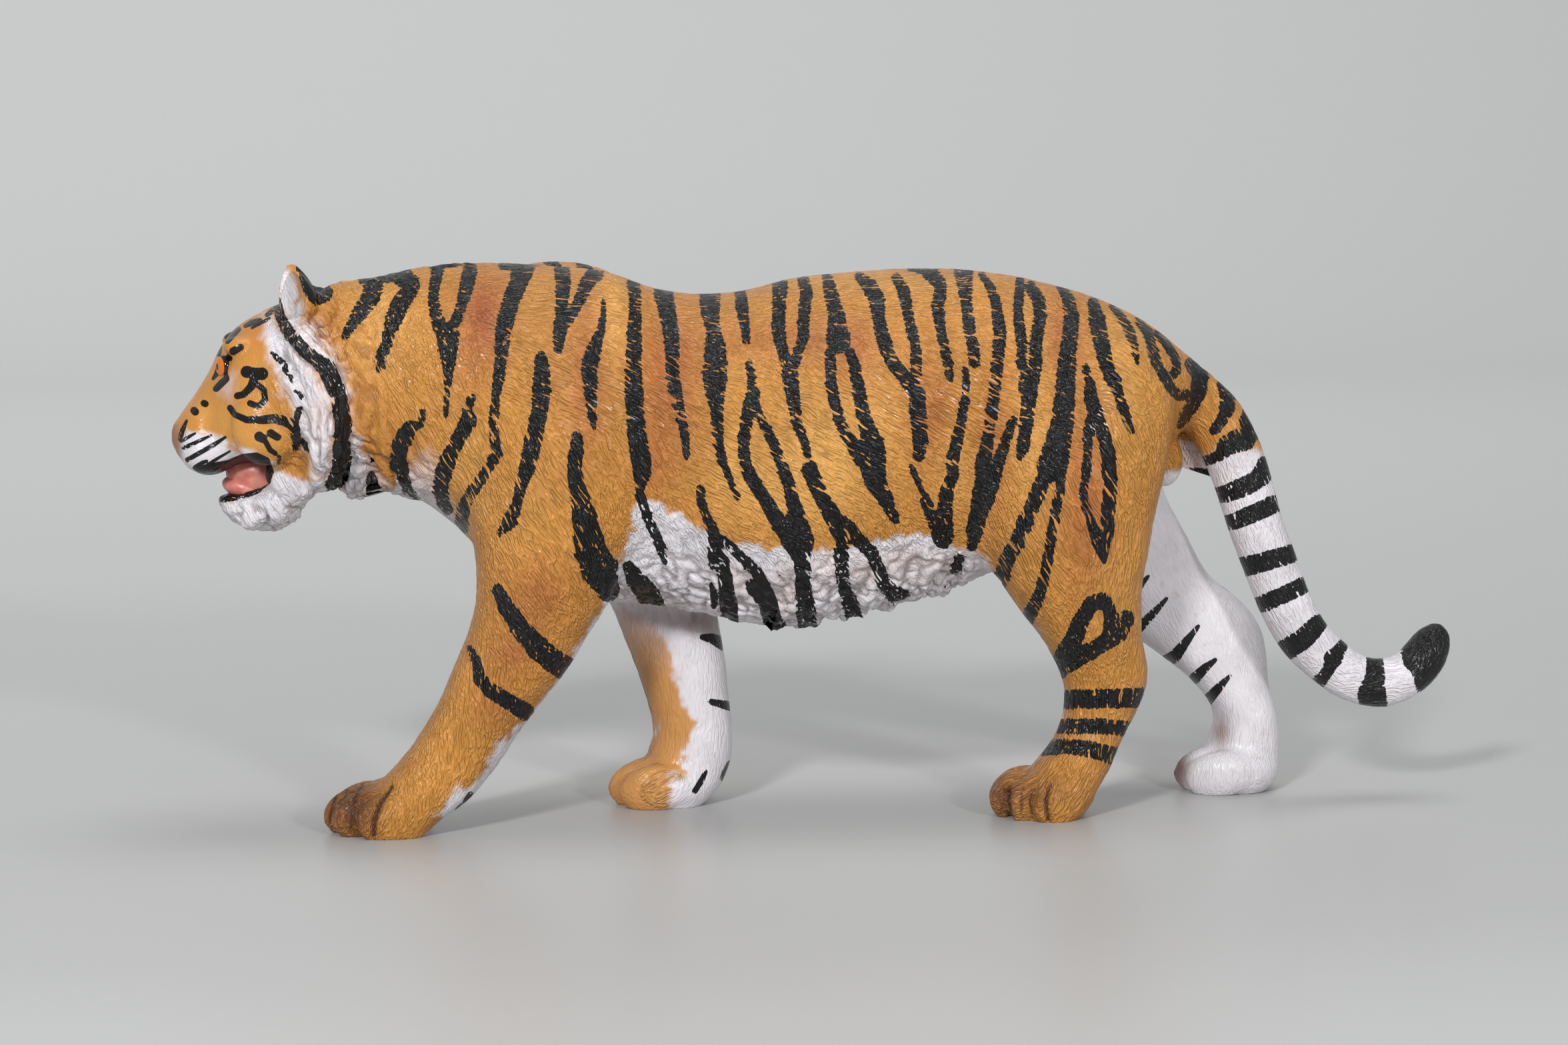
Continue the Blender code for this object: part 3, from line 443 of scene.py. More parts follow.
def soft_body():
    """Trunk, legs and tail, fused and eased where the shoulders, thighs and neck join the trunk."""
    fore, hind = FORELEG_HALF_THICKNESS, HIND_LEG_HALF_THICKNESS
    points, quads = fused([
        trunk(), tube_loft(tail_rows()),
        leg(FORELEG_STRETCHED, LEFT_FORE_TOE_X, FORE_STANCE, fore, -1),
        leg(FORELEG_STANDING, RIGHT_FORE_TOE_X, FORE_STANCE, fore, 1),
        leg(HIND_LEG_FORWARD, LEFT_HIND_TOE_X, HIND_STANCE, hind, -1),
        leg(HIND_LEG_BACKWARD, RIGHT_HIND_TOE_X, HIND_STANCE, hind, 1),
    ], SOFT_VOXEL)
    shoulder, loin = SHOULDER_HALF_WIDTH, LOIN_HALF_WIDTH
    high, low = BACK_Z - 10.4, BACK_Z - 22.4
    places = [(x, side * y, z, reach) for side in (-1, 1) for x, y, z, reach in (
        (SHOULDER_X + 6, shoulder - 1, high, 13), (SHOULDER_X + 4, shoulder - 4, low + 2, 11),
        (SHOULDER_X + 14, shoulder - 2, low, 10), (SHOULDER_X, shoulder - 9, CHEST_Z + 7, 8),
        (RUMP_X - 17, loin - 1, high, 13), (RUMP_X - 23, loin - 1, low, 12),
        (RUMP_X - 9, loin - 3, high - 4, 10))] + [(RUMP_X - 2, 0, high, 7)]
    eased = softened(points, quads, 60, near(points, places))
    return softened(eased, quads, 3), quads.tolist()


def whole_figure():
    """Every form of the figure, as a list of closed skins."""
    return [
        soft_body(), *head_forms(), *throat_tufts(),
        *paw(LEFT_FORE_TOE_X, FORE_STANCE, -1, FORE_TOE_OUT),
        *paw(RIGHT_FORE_TOE_X, FORE_STANCE, 1, FORE_TOE_OUT),
        *paw(LEFT_HIND_TOE_X, HIND_STANCE, -1, HIND_TOE_OUT),
        *paw(RIGHT_HIND_TOE_X, HIND_STANCE, 1, HIND_TOE_OUT),
        ball((RUMP_X - 3.4, 0, BACK_Z - 19.8), (1.9, 2.4, 2.9)),
        ball((SHOULDER_X + 8.6, SHOULDER_HALF_WIDTH * 0.5, WITHERS_Z - 3.9), (7.5, 5.0, 3.6), droop=4),
    ]


def camera_axes():
    """The camera's place and its right, up and forward directions."""
    e, a = np.radians(CAMERA_ELEVATION), np.radians(CAMERA_AZIMUTH)
    back = np.array([-np.sin(a) * np.cos(e), -np.cos(a) * np.cos(e), np.sin(e)])
    right = np.cross(-back, [0, 0, 1])
    right /= np.linalg.norm(right)
    return CAMERA_TARGET + CAMERA_DISTANCE * back, right, np.cross(right, -back), -back


def photo_pixels(points):
    """Where points in the frame show in the photograph, in pixels from its top left corner."""
    place, right, up, forward = camera_axes()
    away = points - place
    depth = away @ forward
    focal = PIXELS_PER_MM * CAMERA_DISTANCE
    return np.stack([IMAGE_WIDTH / 2 + focal * (away @ right) / depth,
                     IMAGE_HEIGHT / 2 - focal * (away @ up) / depth], 1)


def folded(points):
    """Points of the far side moved to the near side, so that both sides carry the same marks."""
    return points * [1, 0, 1] - np.abs(points) * [0, 1, 0]


def ramp(x, low, high):
    """0 below low, 1 above high, and a smooth step between them. low may be the higher one."""
    t = np.clip((x - low) / (high - low), 0, 1)
    return t * t * (3 - 2 * t)


def stroke_distance(pixels, strokes):
    """Distance in pixels to the nearest brush stroke, negative under the paint.

    A stroke is a polyline of x, y and width. The distance to a span is the distance to the nearest point
    of its line, less half the width there.
    """
    nearest = np.full(len(pixels), 60.0)
    for stroke in strokes:
        rows = np.asarray(stroke, float).reshape(-1, 3)
        low, high = rows[:, :2].min(0) - 50, rows[:, :2].max(0) + 50
        chosen = np.nonzero(((pixels > low) & (pixels < high)).all(1))[0]
        at = pixels[chosen]
        best = nearest[chosen]
        for a, b in zip(rows, rows[1:]):
            span = b[:2] - a[:2]
            t = np.clip((at - a[:2]) @ span / max(span @ span, 1e-9), 0, 1)
            gap = np.linalg.norm(at - a[:2] - t[:, None] * span, axis=1) - (a[2] + t * (b[2] - a[2])) / 2
            best = np.minimum(best, gap)
        nearest[chosen] = best
    return nearest


def area_distance(pixels, outline):
    """Distance in pixels to an outline, positive inside it."""
    corners = np.asarray(outline, float).reshape(-1, 2)
    ends = np.roll(corners, -1, 0)
    nearest = np.full(len(pixels), 1e9)
    inside = np.zeros(len(pixels), bool)
    for a, b in zip(corners, ends):
        span = b - a
        t = np.clip((pixels - a) @ span / max(span @ span, 1e-9), 0, 1)
        nearest = np.minimum(nearest, np.linalg.norm(pixels - a - t[:, None] * span, axis=1))
        crosses = (a[1] > pixels[:, 1]) != (b[1] > pixels[:, 1])
        rise = np.where(b[1] == a[1], 1e-9, b[1] - a[1])
        inside ^= crosses & (pixels[:, 0] < a[0] + (pixels[:, 1] - a[1]) / rise * span[0])
    return np.where(inside, nearest, -nearest)


def lattice(x, y, z, seed):
    """A number from 0 to 1 for each whole place, mixed from its coordinates by multiplying and shifting."""
    h = (x * 374761393 + y * 668265263 + z * 1440662683 + seed * 1274126177) & 0xFFFFFFFF
    h = ((h ^ (h >> 13)) * 1274126177) & 0xFFFFFFFF
    return (h ^ (h >> 16)) / 4294967295.0


def soft_noise(points, seed):
    """Numbers at the corners of unit cubes, blended by a smooth step between them."""
    base = np.floor(points).astype(np.int64)
    step = points - base
    step = step * step * (3 - 2 * step)
    total = np.zeros(len(points))
    for corner in np.ndindex(2, 2, 2):
        share = np.prod(np.where(corner, step, 1 - step), axis=1)
        total += share * lattice(*(base + corner).T, seed)
    return total


# The way the fur lies: photo pixel and angle below the tail's direction, in degrees
FUR_FLOW = (
    (290, 600, -50), (350, 470, -35), (300, 680, 10), (400, 560, 60), (390, 650, 40), (450, 560, 62),
    (480, 650, 80), (380, 770, 60), (440, 480, 60), (540, 450, 40), (540, 600, 75), (600, 500, 50),
    (600, 700, 70), (680, 420, 15), (680, 560, 50), (740, 700, 60), (820, 440, 8), (820, 560, 30),
    (820, 700, 55), (860, 820, 65), (780, 930, 72), (720, 1050, 82), (620, 1150, 100), (530, 1200, 108),
    (940, 440, 5), (960, 560, 25), (960, 700, 50), (1000, 850, 70), (1080, 430, 8), (1100, 560, 22),
    (1100, 700, 35), (1150, 800, 45), (1150, 900, 70), (1300, 430, 8), (1300, 560, 22), (1300, 700, 38),
    (1320, 860, 65), (1450, 440, 10), (1450, 600, 30), (1450, 760, 45), (1600, 480, 22), (1600, 640, 38),
    (1580, 800, 60), (1640, 950, 75), (1650, 1080, 85), (1600, 1180, 110), (1520, 1200, 160),
    (1700, 560, 35), (1700, 700, 65), (1690, 860, 85), (1800, 600, 48), (1860, 720, 75), (1890, 850, 75),
    (1960, 980, 50), (2060, 1030, 5), (2150, 980, -75), (1000, 1000, 85), (1060, 1120, 90),
    (960, 1190, 160), (1760, 900, 55), (1850, 1000, 75), (1870, 1150, 90),
)
FLOW_REACH = 75.0
FUR_ANGLES = (0, 30, 60, 90, 120, 150)


def fur_angles(pixels):
    """How much of each of the six fur directions a place has: the flow's axis, averaged by nearness."""
    total = np.zeros((len(pixels), 2))
    for x, y, angle in FUR_FLOW:
        gap = ((pixels - [x, y]) ** 2).sum(1) / FLOW_REACH**2
        axis = np.radians(2 * angle)
        total += (1 / (0.05 + gap) ** 2)[:, None] * [np.cos(axis), np.sin(axis)]
    angle = np.degrees(np.arctan2(total[:, 1], total[:, 0])) / 2 % 180
    off = np.abs(angle[:, None] - np.array(FUR_ANGLES))
    off = np.minimum(off, 180 - off)
    return np.clip(1 - off / 30, 0, 1)


def locks(points, shares, length, width, seed):
    """Noise drawn out along the fur: for each angle, at (along / length, across / width, y / width)."""
    wander = 1.2 * width * np.stack([soft_noise(points / 2.6 + 7.3 * i, 90 + i) for i in range(3)], 1)
    total = np.zeros(len(points))
    x, y, z = (points + wander).T
    for index, angle in enumerate(np.radians(FUR_ANGLES)):
        chosen = np.nonzero(shares[:, index] > 0)[0]
        along = x[chosen] * np.cos(angle) - z[chosen] * np.sin(angle)
        across = x[chosen] * np.sin(angle) + z[chosen] * np.cos(angle)
        cells = np.stack([along / length, across / width, y[chosen] / width], 1)
        total[chosen] += shares[chosen, index] * soft_noise(cells, seed + index)
    return total


# Brush strokes of black paint, each a run of x, y and width in the photograph's pixels
FACE_STROKES = (
    (418, 460, 10, 420, 475, 14, 428, 490, 16, 437, 505, 16, 460, 530, 19, 475, 540, 20, 488, 552, 22,
    498, 570, 22, 511, 610, 23, 516, 635, 24, 513, 655, 24, 514, 690, 25, 512, 712, 26, 503, 726, 20, 495,
    732, 14), (370, 558, 17, 382, 560, 15, 393, 561, 18), (383, 563, 12, 377, 580, 11, 365, 592, 9, 356,
    594, 9), (385, 576, 7, 396, 585, 8, 398, 600, 8, 388, 610, 8, 375, 605, 8), (345, 612, 8, 352, 622, 8,
    370, 630, 9, 395, 630, 12, 412, 628, 13, 430, 633, 14, 442, 642, 14, 444, 660, 12, 444, 674, 9), (450,
    615, 9, 445, 625, 8, 442, 640, 10), (444, 650, 9, 452, 665, 8, 462, 676, 5), (406, 650, 11, 416, 656,
    10), (389, 655, 14, 394, 658, 12), (398, 662, 7, 405, 675, 7, 414, 681, 6), (419, 686, 5, 418, 695,
    4), (409, 531, 6, 420, 540, 8, 428, 550, 7), (428, 555, 7, 434, 562, 9, 437, 571, 5), (443, 587, 3,
    448, 590, 4, 452, 596, 5), (350, 527, 11, 361, 521, 9), (338, 568, 11, 331, 575, 11, 324, 583, 9),
    (291, 616, 10, 293, 618, 10), (306, 605, 9, 308, 606, 9), (330, 540, 8, 336, 536, 9, 345, 538, 5),
    (336, 545, 6, 336, 558, 6, 340, 567, 5), (341, 512, 7, 350, 502, 8, 358, 494, 6), (368, 489, 5, 378,
    484, 8, 390, 480, 5), (378, 492, 3, 396, 482, 4, 404, 478, 3), (400, 473, 5, 420, 458, 8), (326, 545,
    4, 322, 560, 5, 318, 568, 3), (331, 520, 4, 327, 532, 4), (280, 631, 3, 274, 645, 6, 270, 658, 6),
    (272, 662, 4, 284, 655, 4, 293, 650, 2), (276, 672, 5, 296, 663, 5, 317, 653, 2), (281, 690, 6, 320,
    668, 6, 338, 656, 3), (302, 705, 4, 318, 693, 4, 345, 677, 2), (293, 700, 4, 304, 694, 5, 310, 692,
    4), (292, 702, 5, 302, 708, 7, 320, 705, 9, 365, 687, 11, 385, 685, 11, 399, 692, 11, 405, 708, 10,
    400, 723, 9, 385, 735, 9, 365, 743, 9, 333, 748, 11),
)
NECK_STROKES = (
    (560, 432, 30, 557, 445, 26, 525, 490, 14, 518, 503, 12), (600, 412, 30, 615, 425, 28, 612, 440, 24,
    600, 455, 26, 592, 475, 26, 580, 515, 14, 572, 535, 16, 570, 552, 12), (545, 422, 12, 575, 417, 14,
    600, 412, 20), (657, 400, 18, 650, 440, 14, 652, 465, 16, 658, 485, 20, 668, 505, 20), (705, 405, 22,
    700, 430, 20, 688, 470, 14, 672, 505, 16), (672, 500, 34, 672, 525, 28, 673, 545, 18, 672, 565, 12,
    671, 585, 8, 668, 625, 6), (645, 397, 7, 700, 395, 7), (632, 618, 8, 633, 635, 8), (630, 637, 10, 615,
    642, 20, 607, 655, 26, 600, 670, 24, 597, 690, 24, 612, 735, 14, 625, 747, 10), (590, 700, 14, 600,
    706, 14), (708, 597, 10, 700, 615, 14, 703, 630, 24, 682, 670, 20, 672, 690, 24, 665, 710, 24, 660,
    730, 22, 665, 755, 18, 672, 765, 14),
)
SHOULDER_STROKES = (
    (785, 400, 34, 778, 425, 26, 767, 450, 24, 760, 475, 24, 755, 500, 24, 750, 545, 16, 748, 570, 16,
    743, 595, 12, 740, 640, 14, 745, 680, 14, 735, 700, 12, 706, 740, 16, 697, 760, 18, 692, 780, 18, 697,
    795, 10), (812, 535, 14, 813, 560, 22, 812, 590, 26, 810, 615, 24, 800, 660, 26, 790, 705, 22, 783,
    725, 16, 778, 745, 14, 775, 760, 16, 768, 772, 18, 750, 800, 8), (843, 400, 22, 845, 425, 22, 843,
    450, 18, 843, 475, 18, 840, 500, 20, 836, 525, 12), (893, 410, 24, 880, 425, 20, 872, 445, 16, 850,
    485, 14), (905, 450, 4, 905, 475, 8, 900, 500, 12, 890, 525, 22, 884, 550, 24, 888, 625, 12, 892, 645,
    3), (950, 425, 18, 953, 445, 16, 950, 560, 24, 951, 590, 26, 952, 620, 24, 958, 665, 30, 962, 690, 30,
    963, 710, 26, 958, 745, 6), (866, 655, 16, 864, 680, 20, 862, 705, 20, 868, 740, 24, 875, 770, 34,
    887, 830, 48, 900, 855, 55, 912, 885, 35), (800, 394, 8, 825, 394, 8), (752, 399, 8, 775, 401, 8),
    (772, 785, 8, 749, 803, 6),
)
FLANK_STROKES = (
    (995, 440, 28, 1005, 490, 22, 1008, 515, 22, 1008, 540, 18, 1008, 560, 20, 1020, 620, 16, 1025, 640,
    12, 1028, 660, 12, 1030, 685, 8), (1065, 445, 30, 1065, 470, 26, 1070, 495, 20, 1073, 520, 30, 1073,
    545, 36, 1072, 570, 36, 1075, 615, 18, 1078, 665, 14, 1083, 690, 12, 1107, 748, 6), (1110, 437, 16,
    1113, 460, 18, 1120, 512, 10), (1123, 545, 10, 1128, 570, 12, 1130, 590, 18, 1127, 605, 24), (1125,
    605, 20, 1115, 660, 16, 1117, 690, 16, 1125, 715, 18, 1175, 795, 24, 1190, 815, 30, 1203, 835, 26,
    1204, 860, 22, 1205, 885, 22, 1210, 925, 30, 1212, 960, 20), (1130, 605, 16, 1140, 625, 12, 1160, 665,
    14, 1183, 725, 18, 1188, 745, 18, 1203, 812, 36), (1170, 425, 22, 1168, 475, 18, 1168, 500, 20, 1172,
    520, 16, 1180, 545, 16), (1205, 420, 16, 1210, 440, 18, 1205, 480, 16, 1205, 500, 16, 1200, 520, 14,
    1188, 555, 16), (1185, 560, 24, 1193, 625, 16, 1212, 682, 10), (1240, 415, 14, 1245, 435, 20, 1250,
    455, 20, 1255, 475, 24, 1258, 512, 36), (1245, 530, 14, 1247, 580, 16, 1258, 630, 14, 1268, 650, 16,
    1292, 688, 26), (1275, 530, 14, 1282, 550, 16, 1295, 625, 20, 1303, 645, 24, 1308, 670, 38, 1308, 695,
    40, 1313, 720, 32, 1343, 780, 12), (1290, 415, 14, 1305, 430, 22, 1315, 450, 24, 1318, 475, 18, 1322,
    500, 20, 1330, 525, 20, 1340, 545, 18, 1352, 560, 18, 1365, 575, 24, 1375, 590, 24, 1381, 665, 22,
    1378, 685, 16), (1367, 700, 8, 1385, 740, 8, 1397, 757, 8), (1345, 418, 14, 1355, 435, 18, 1363, 475,
    14, 1367, 495, 16, 1373, 515, 14, 1375, 560, 16),
)
HINDQUARTER_STROKES = (
    (1395, 410, 22, 1410, 425, 18, 1410, 445, 18, 1406, 458, 18, 1412, 500, 14, 1422, 545, 14, 1425, 570,
    8), (1365, 402, 8, 1400, 410, 10), (1445, 405, 28, 1449, 450, 16, 1455, 500, 16, 1460, 520, 16, 1461,
    545, 16), (1448, 552, 6, 1450, 575, 10, 1447, 600, 12, 1443, 625, 12, 1438, 650, 16, 1428, 695, 18,
    1430, 712, 16, 1420, 735, 20, 1418, 760, 22, 1412, 785, 34, 1415, 808, 30), (1388, 752, 16, 1408, 795,
    20), (1472, 412, 8, 1485, 430, 12, 1493, 450, 14, 1500, 500, 18, 1495, 560, 16, 1483, 650, 16, 1478,
    680, 20, 1475, 700, 26, 1478, 720, 30, 1475, 745, 34, 1468, 770, 26, 1462, 795, 26, 1458, 820, 14),
    (1520, 630, 12, 1502, 680, 16, 1485, 730, 26), (1530, 420, 12, 1527, 470, 14, 1533, 520, 14, 1532,
    545, 14, 1540, 565, 14), (1545, 430, 16, 1558, 450, 18, 1560, 475, 18, 1553, 525, 18, 1553, 550, 18,
    1548, 570, 18), (1543, 575, 30, 1543, 600, 22, 1535, 670, 18, 1530, 685, 10), (1590, 430, 10, 1603,
    450, 18, 1607, 475, 22, 1606, 500, 22, 1602, 525, 24, 1595, 625, 32, 1585, 675, 40, 1578, 700, 46),
    (1565, 720, 22, 1525, 815, 22, 1510, 840, 22, 1502, 870, 22, 1494, 885, 20), (1592, 720, 14, 1566,
    870, 14, 1558, 895, 18, 1538, 935, 20), (1640, 455, 16, 1645, 480, 24, 1660, 550, 20, 1670, 570, 22,
    1678, 590, 14, 1690, 630, 14, 1698, 648, 8), (1628, 552, 8, 1635, 575, 14, 1637, 600, 20, 1655, 650,
    18, 1662, 680, 20, 1665, 710, 20, 1665, 740, 20, 1660, 800, 18, 1656, 842, 8), (1637, 625, 14, 1632,
    650, 14, 1632, 675, 12, 1625, 745, 12, 1632, 770, 12, 1650, 820, 18, 1656, 842, 8), (1668, 460, 8,
    1685, 480, 12, 1695, 500, 14, 1702, 520, 10, 1706, 545, 4), (1705, 480, 8, 1722, 500, 14, 1735, 545,
    15, 1758, 585, 14, 1770, 595, 14, 1780, 592, 14), (1735, 500, 8, 1752, 520, 12, 1764, 540, 14, 1766,
    556, 12, 1752, 568, 12),
)
BELLY_STROKES = (
    (960, 745, 14, 975, 785, 14, 993, 825, 16, 997, 843, 8), (944, 850, 16, 955, 870, 30, 970, 890, 34,
    982, 910, 30), (1050, 735, 13, 1052, 755, 13, 1060, 775, 13, 1068, 792, 16, 1073, 810, 22), (1070,
    820, 14, 1068, 835, 12, 1070, 850, 10), (1078, 830, 20, 1090, 880, 22, 1092, 905, 26, 1096, 935, 24),
    (1068, 880, 8, 1072, 905, 10), (1080, 808, 14, 1112, 835, 14, 1138, 865, 18, 1152, 905, 28, 1162, 935,
    30, 1168, 960, 24), (1125, 880, 14, 1140, 895, 18), (1215, 705, 24, 1222, 725, 22, 1232, 745, 22,
    1255, 785, 28, 1262, 805, 26, 1262, 830, 20, 1263, 860, 18, 1268, 885, 16, 1277, 910, 24, 1282, 935,
    18), (1265, 780, 14, 1280, 800, 20, 1295, 818, 20, 1308, 830, 18, 1325, 872, 20, 1340, 890, 26, 1360,
    892, 12), (1440, 838, 14, 1435, 860, 14),
)
NEAR_LEG_STROKES = (
    (746, 884, 14, 762, 915, 24, 783, 946, 30, 809, 975, 34, 830, 992, 34, 850, 1004, 36), (704, 972, 6,
    715, 993, 13, 720, 1019, 18, 736, 1036, 22, 762, 1052, 22, 788, 1068, 26), (706, 1192, 8, 698, 1205,
    9, 686, 1215, 7), (1588, 1004, 30, 1598, 982, 30, 1611, 958, 26, 1621, 932, 24, 1636, 908, 24, 1652,
    900, 22, 1664, 912, 20, 1666, 930, 18, 1664, 948, 18), (1586, 1006, 22, 1617, 985, 30, 1640, 975, 24,
    1678, 950, 26, 1692, 930, 18), (1690, 925, 18, 1676, 930, 20, 1668, 942, 20), (1590, 1050, 26, 1712,
    1047, 28), (1580, 1090, 20, 1660, 1090, 22, 1695, 1094, 22), (1565, 1122, 22, 1600, 1120, 22, 1635,
    1124, 23, 1675, 1135, 26),
)
FAR_LEG_STROKES = (
    (1054, 956, 8, 1068, 958, 14, 1086, 966, 20), (1066, 1053, 8, 1098, 1060, 14), (1058, 1158, 5, 1052,
    1172, 8, 1042, 1187, 7), (1094, 1144, 5, 1088, 1158, 8, 1082, 1169, 4), (1722, 865, 4, 1700, 890, 14),
    (1750, 898, 4, 1732, 918, 10, 1700, 950, 16), (1797, 940, 5, 1762, 985, 18, 1750, 992, 18), (1823,
    990, 5, 1808, 1002, 12, 1792, 1018, 16), (1845, 1014, 4, 1828, 1032, 12, 1812, 1050, 16),
)
TAIL_STROKES = (
    (1785, 545, 16, 1798, 560, 22, 1800, 585, 22, 1780, 622, 18, 1770, 638, 10), (1800, 548, 14, 1808,
    565, 10, 1805, 575, 8), (1832, 575, 12, 1842, 600, 22, 1840, 622, 22, 1828, 645, 20), (1866, 628, 8,
    1870, 645, 28, 1862, 662, 30, 1845, 668, 24, 1835, 682, 14, 1808, 692, 14), (1890, 695, 16, 1886, 718,
    26, 1870, 728, 28, 1848, 738, 26, 1828, 742, 22), (1904, 758, 26, 1862, 778, 24, 1838, 784, 20),
    (1930, 832, 26, 1880, 845, 30, 1858, 848, 26), (1948, 880, 24, 1905, 900, 24, 1885, 908, 20), (1972,
    938, 26, 1955, 955, 30, 1940, 965, 30, 1925, 978, 26), (2008, 972, 16, 1998, 985, 26, 1994, 998, 16,
    1978, 1024, 20), (2060, 996, 26, 2060, 1015, 28, 2056, 1032, 38, 2062, 1050, 34),
)
BLACK_AREAS = (
    (2128, 915, 2122, 940, 2110, 965, 2104, 985, 2106, 1000, 2116, 1008, 2122, 1030, 2200, 1060, 2240,
    980, 2200, 880, 2140, 880), (296, 700, 345, 690, 385, 683, 404, 695, 404, 716, 385, 735, 345, 750,
    328, 750), (450, 402, 462, 402, 482, 418, 500, 437, 494, 450, 476, 458, 463, 452, 455, 436, 449, 418),
)
TOE_GROOVES = (
    (585, 1178, 5, 570, 1205, 9, 562, 1232, 9, 560, 1256, 8), (1574, 1178, 4, 1569, 1200, 7, 1572, 1232,
    7), (1512, 1180, 4, 1510, 1200, 6, 1515, 1228, 5),
)
# Painted shade in the creases between the toes: along the carved grooves and between the other toes
TOE_CREASE_SHADE_STROKES = TOE_GROOVES + (
    (1535, 1182, 2, 1531, 1200, 3, 1534, 1226, 2), (1548, 1185, 2, 1545, 1205, 3, 1549, 1225, 2), (513,
    1174, 2, 503, 1195, 4, 497, 1215, 3, 494, 1236, 3), (545, 1176, 2, 533, 1196, 4, 530, 1220, 3, 524,
    1246, 3),
)
OUTER_STROKES = (FACE_STROKES + NECK_STROKES + SHOULDER_STROKES + FLANK_STROKES + HINDQUARTER_STROKES
                 + BELLY_STROKES + NEAR_LEG_STROKES + TAIL_STROKES)

# Areas of the coat: the softness of the edge and a run of x and y in pixels
WHITE_AREAS = (
    (5, (905, 870, 940, 830, 950, 765, 965, 745, 985, 755, 1010, 770, 1035, 785, 1055, 797, 1085, 803,
    1100, 815, 1140, 822, 1180, 825, 1230, 825, 1290, 822, 1330, 810, 1350, 805, 1380, 800, 1400, 805,
    1430, 820, 1450, 828, 1480, 840, 1520, 1000, 905, 1000)), (14, (405, 485, 432, 500, 458, 540, 488,
    575, 500, 620, 505, 725, 470, 722, 463, 690, 450, 645, 438, 605, 415, 565, 400, 525)), (12, (430, 440,
    448, 455, 452, 480, 480, 515, 505, 545, 522, 590, 512, 600, 495, 560, 465, 530, 440, 505, 425, 470)),
    (8, (268, 655, 285, 648, 315, 650, 345, 668, 395, 684, 412, 700, 345, 712, 300, 716, 262, 700)), (8,
    (325, 735, 345, 750, 400, 728, 410, 700, 430, 712, 465, 722, 520, 725, 500, 760, 460, 800, 400, 830,
    330, 800)), (9, (524, 650, 538, 656, 546, 690, 552, 714, 600, 738, 640, 768, 530, 800, 512, 740)), (7,
    (420, 395, 430, 405, 446, 440, 446, 470, 425, 470, 415, 420)), (10, (1790, 705, 1840, 672, 1895, 676,
    2300, 860, 2300, 1200, 1860, 1100)),
)
FAR_ORANGE_AREA = (
    900, 900, 975, 935, 1000, 960, 1015, 1000, 1020, 1040, 1035, 1075, 1040, 1100, 1030, 1130, 1026, 1160,
    1006, 1165, 1004, 1225, 870, 1240, 870, 1120, 950, 1130, 980, 1100, 940, 1000)
NEAR_LEG_FRINGE = (
    932, 900, 890, 932, 876, 960, 852, 1000, 832, 1028, 800, 1068, 775, 1094, 748, 1118, 735, 1136, 722,
    1160, 704, 1178, 686, 1188, 664, 1198, 658, 1222, 700, 1250, 790, 1150, 880, 1040, 960, 930)
FAR_SHADE_PATCHES = (
    (985, 925, 90, 22, 0.9), (1060, 935, 60, 16, 0.6),
)
# Brown wash on the feet: centre, half width, half height and strength
BROWN_PATCHES = (
    (525, 1210, 44, 48, 1), (1540, 1190, 55, 30, 0.6), (1500, 1195, 22, 35, 0.5),
)
FAR_BROWN_PATCHES = (
    (1768, 1150, 15, 45, 1), (1832, 1098, 13, 20, 0.8), (903, 1172, 12, 38, 0.7),
)
BELLY_PINK_PATCHES = (
    (1110, 870, 25, 30, 0.5), (1180, 880, 22, 40, 0.5), (1240, 850, 22, 30, 0.5),
    (1300, 860, 22, 30, 0.5), (1360, 845, 40, 25, 0.55), (1425, 850, 20, 20, 0.5),
    (480, 620, 14, 40, 0.6), (470, 520, 14, 30, 0.4),
)
PINK_AREAS = (
    (16, (452, 470, 490, 500, 520, 560, 530, 620, 520, 640, 505, 570, 480, 530, 450, 500)), (12, (622,
    690, 645, 676, 660, 695, 655, 745, 630, 750, 612, 705)), (14, (330, 585, 345, 600, 352, 585, 350, 560,
    335, 575)), (14, (395, 470, 415, 480, 405, 540, 400, 520)),
)
NOSE_AREA = (
    245, 625, 266, 640, 270, 660, 272, 690, 255, 700, 240, 660)
# Warmer patches of the airbrush: centre, half width, half height and strength
RED_PATCHES = (
    (730, 470, 35, 70, 0.75), (870, 560, 40, 110, 0.8), (1005, 590, 50, 100, 0.7),
    (1150, 505, 110, 35, 0.55), (1270, 520, 60, 40, 0.5), (1395, 620, 35, 90, 0.6),
    (1595, 505, 30, 60, 0.7), (1630, 740, 35, 150, 0.75), (1000, 520, 45, 60, 0.25),
    (1290, 560, 40, 60, 0.4), (700, 470, 50, 60, 0.35), (1480, 700, 20, 90, 0.4),
    (810, 890, 45, 50, 0.55), (770, 980, 40, 40, 0.6), (735, 1060, 30, 35, 0.45), (540, 700, 25, 40, 0.4),
    (1500, 620, 30, 110, 0.4), (700, 560, 30, 60, 0.35), (385, 500, 45, 30, 0.3), (975, 700, 30, 50, 0.5),
)
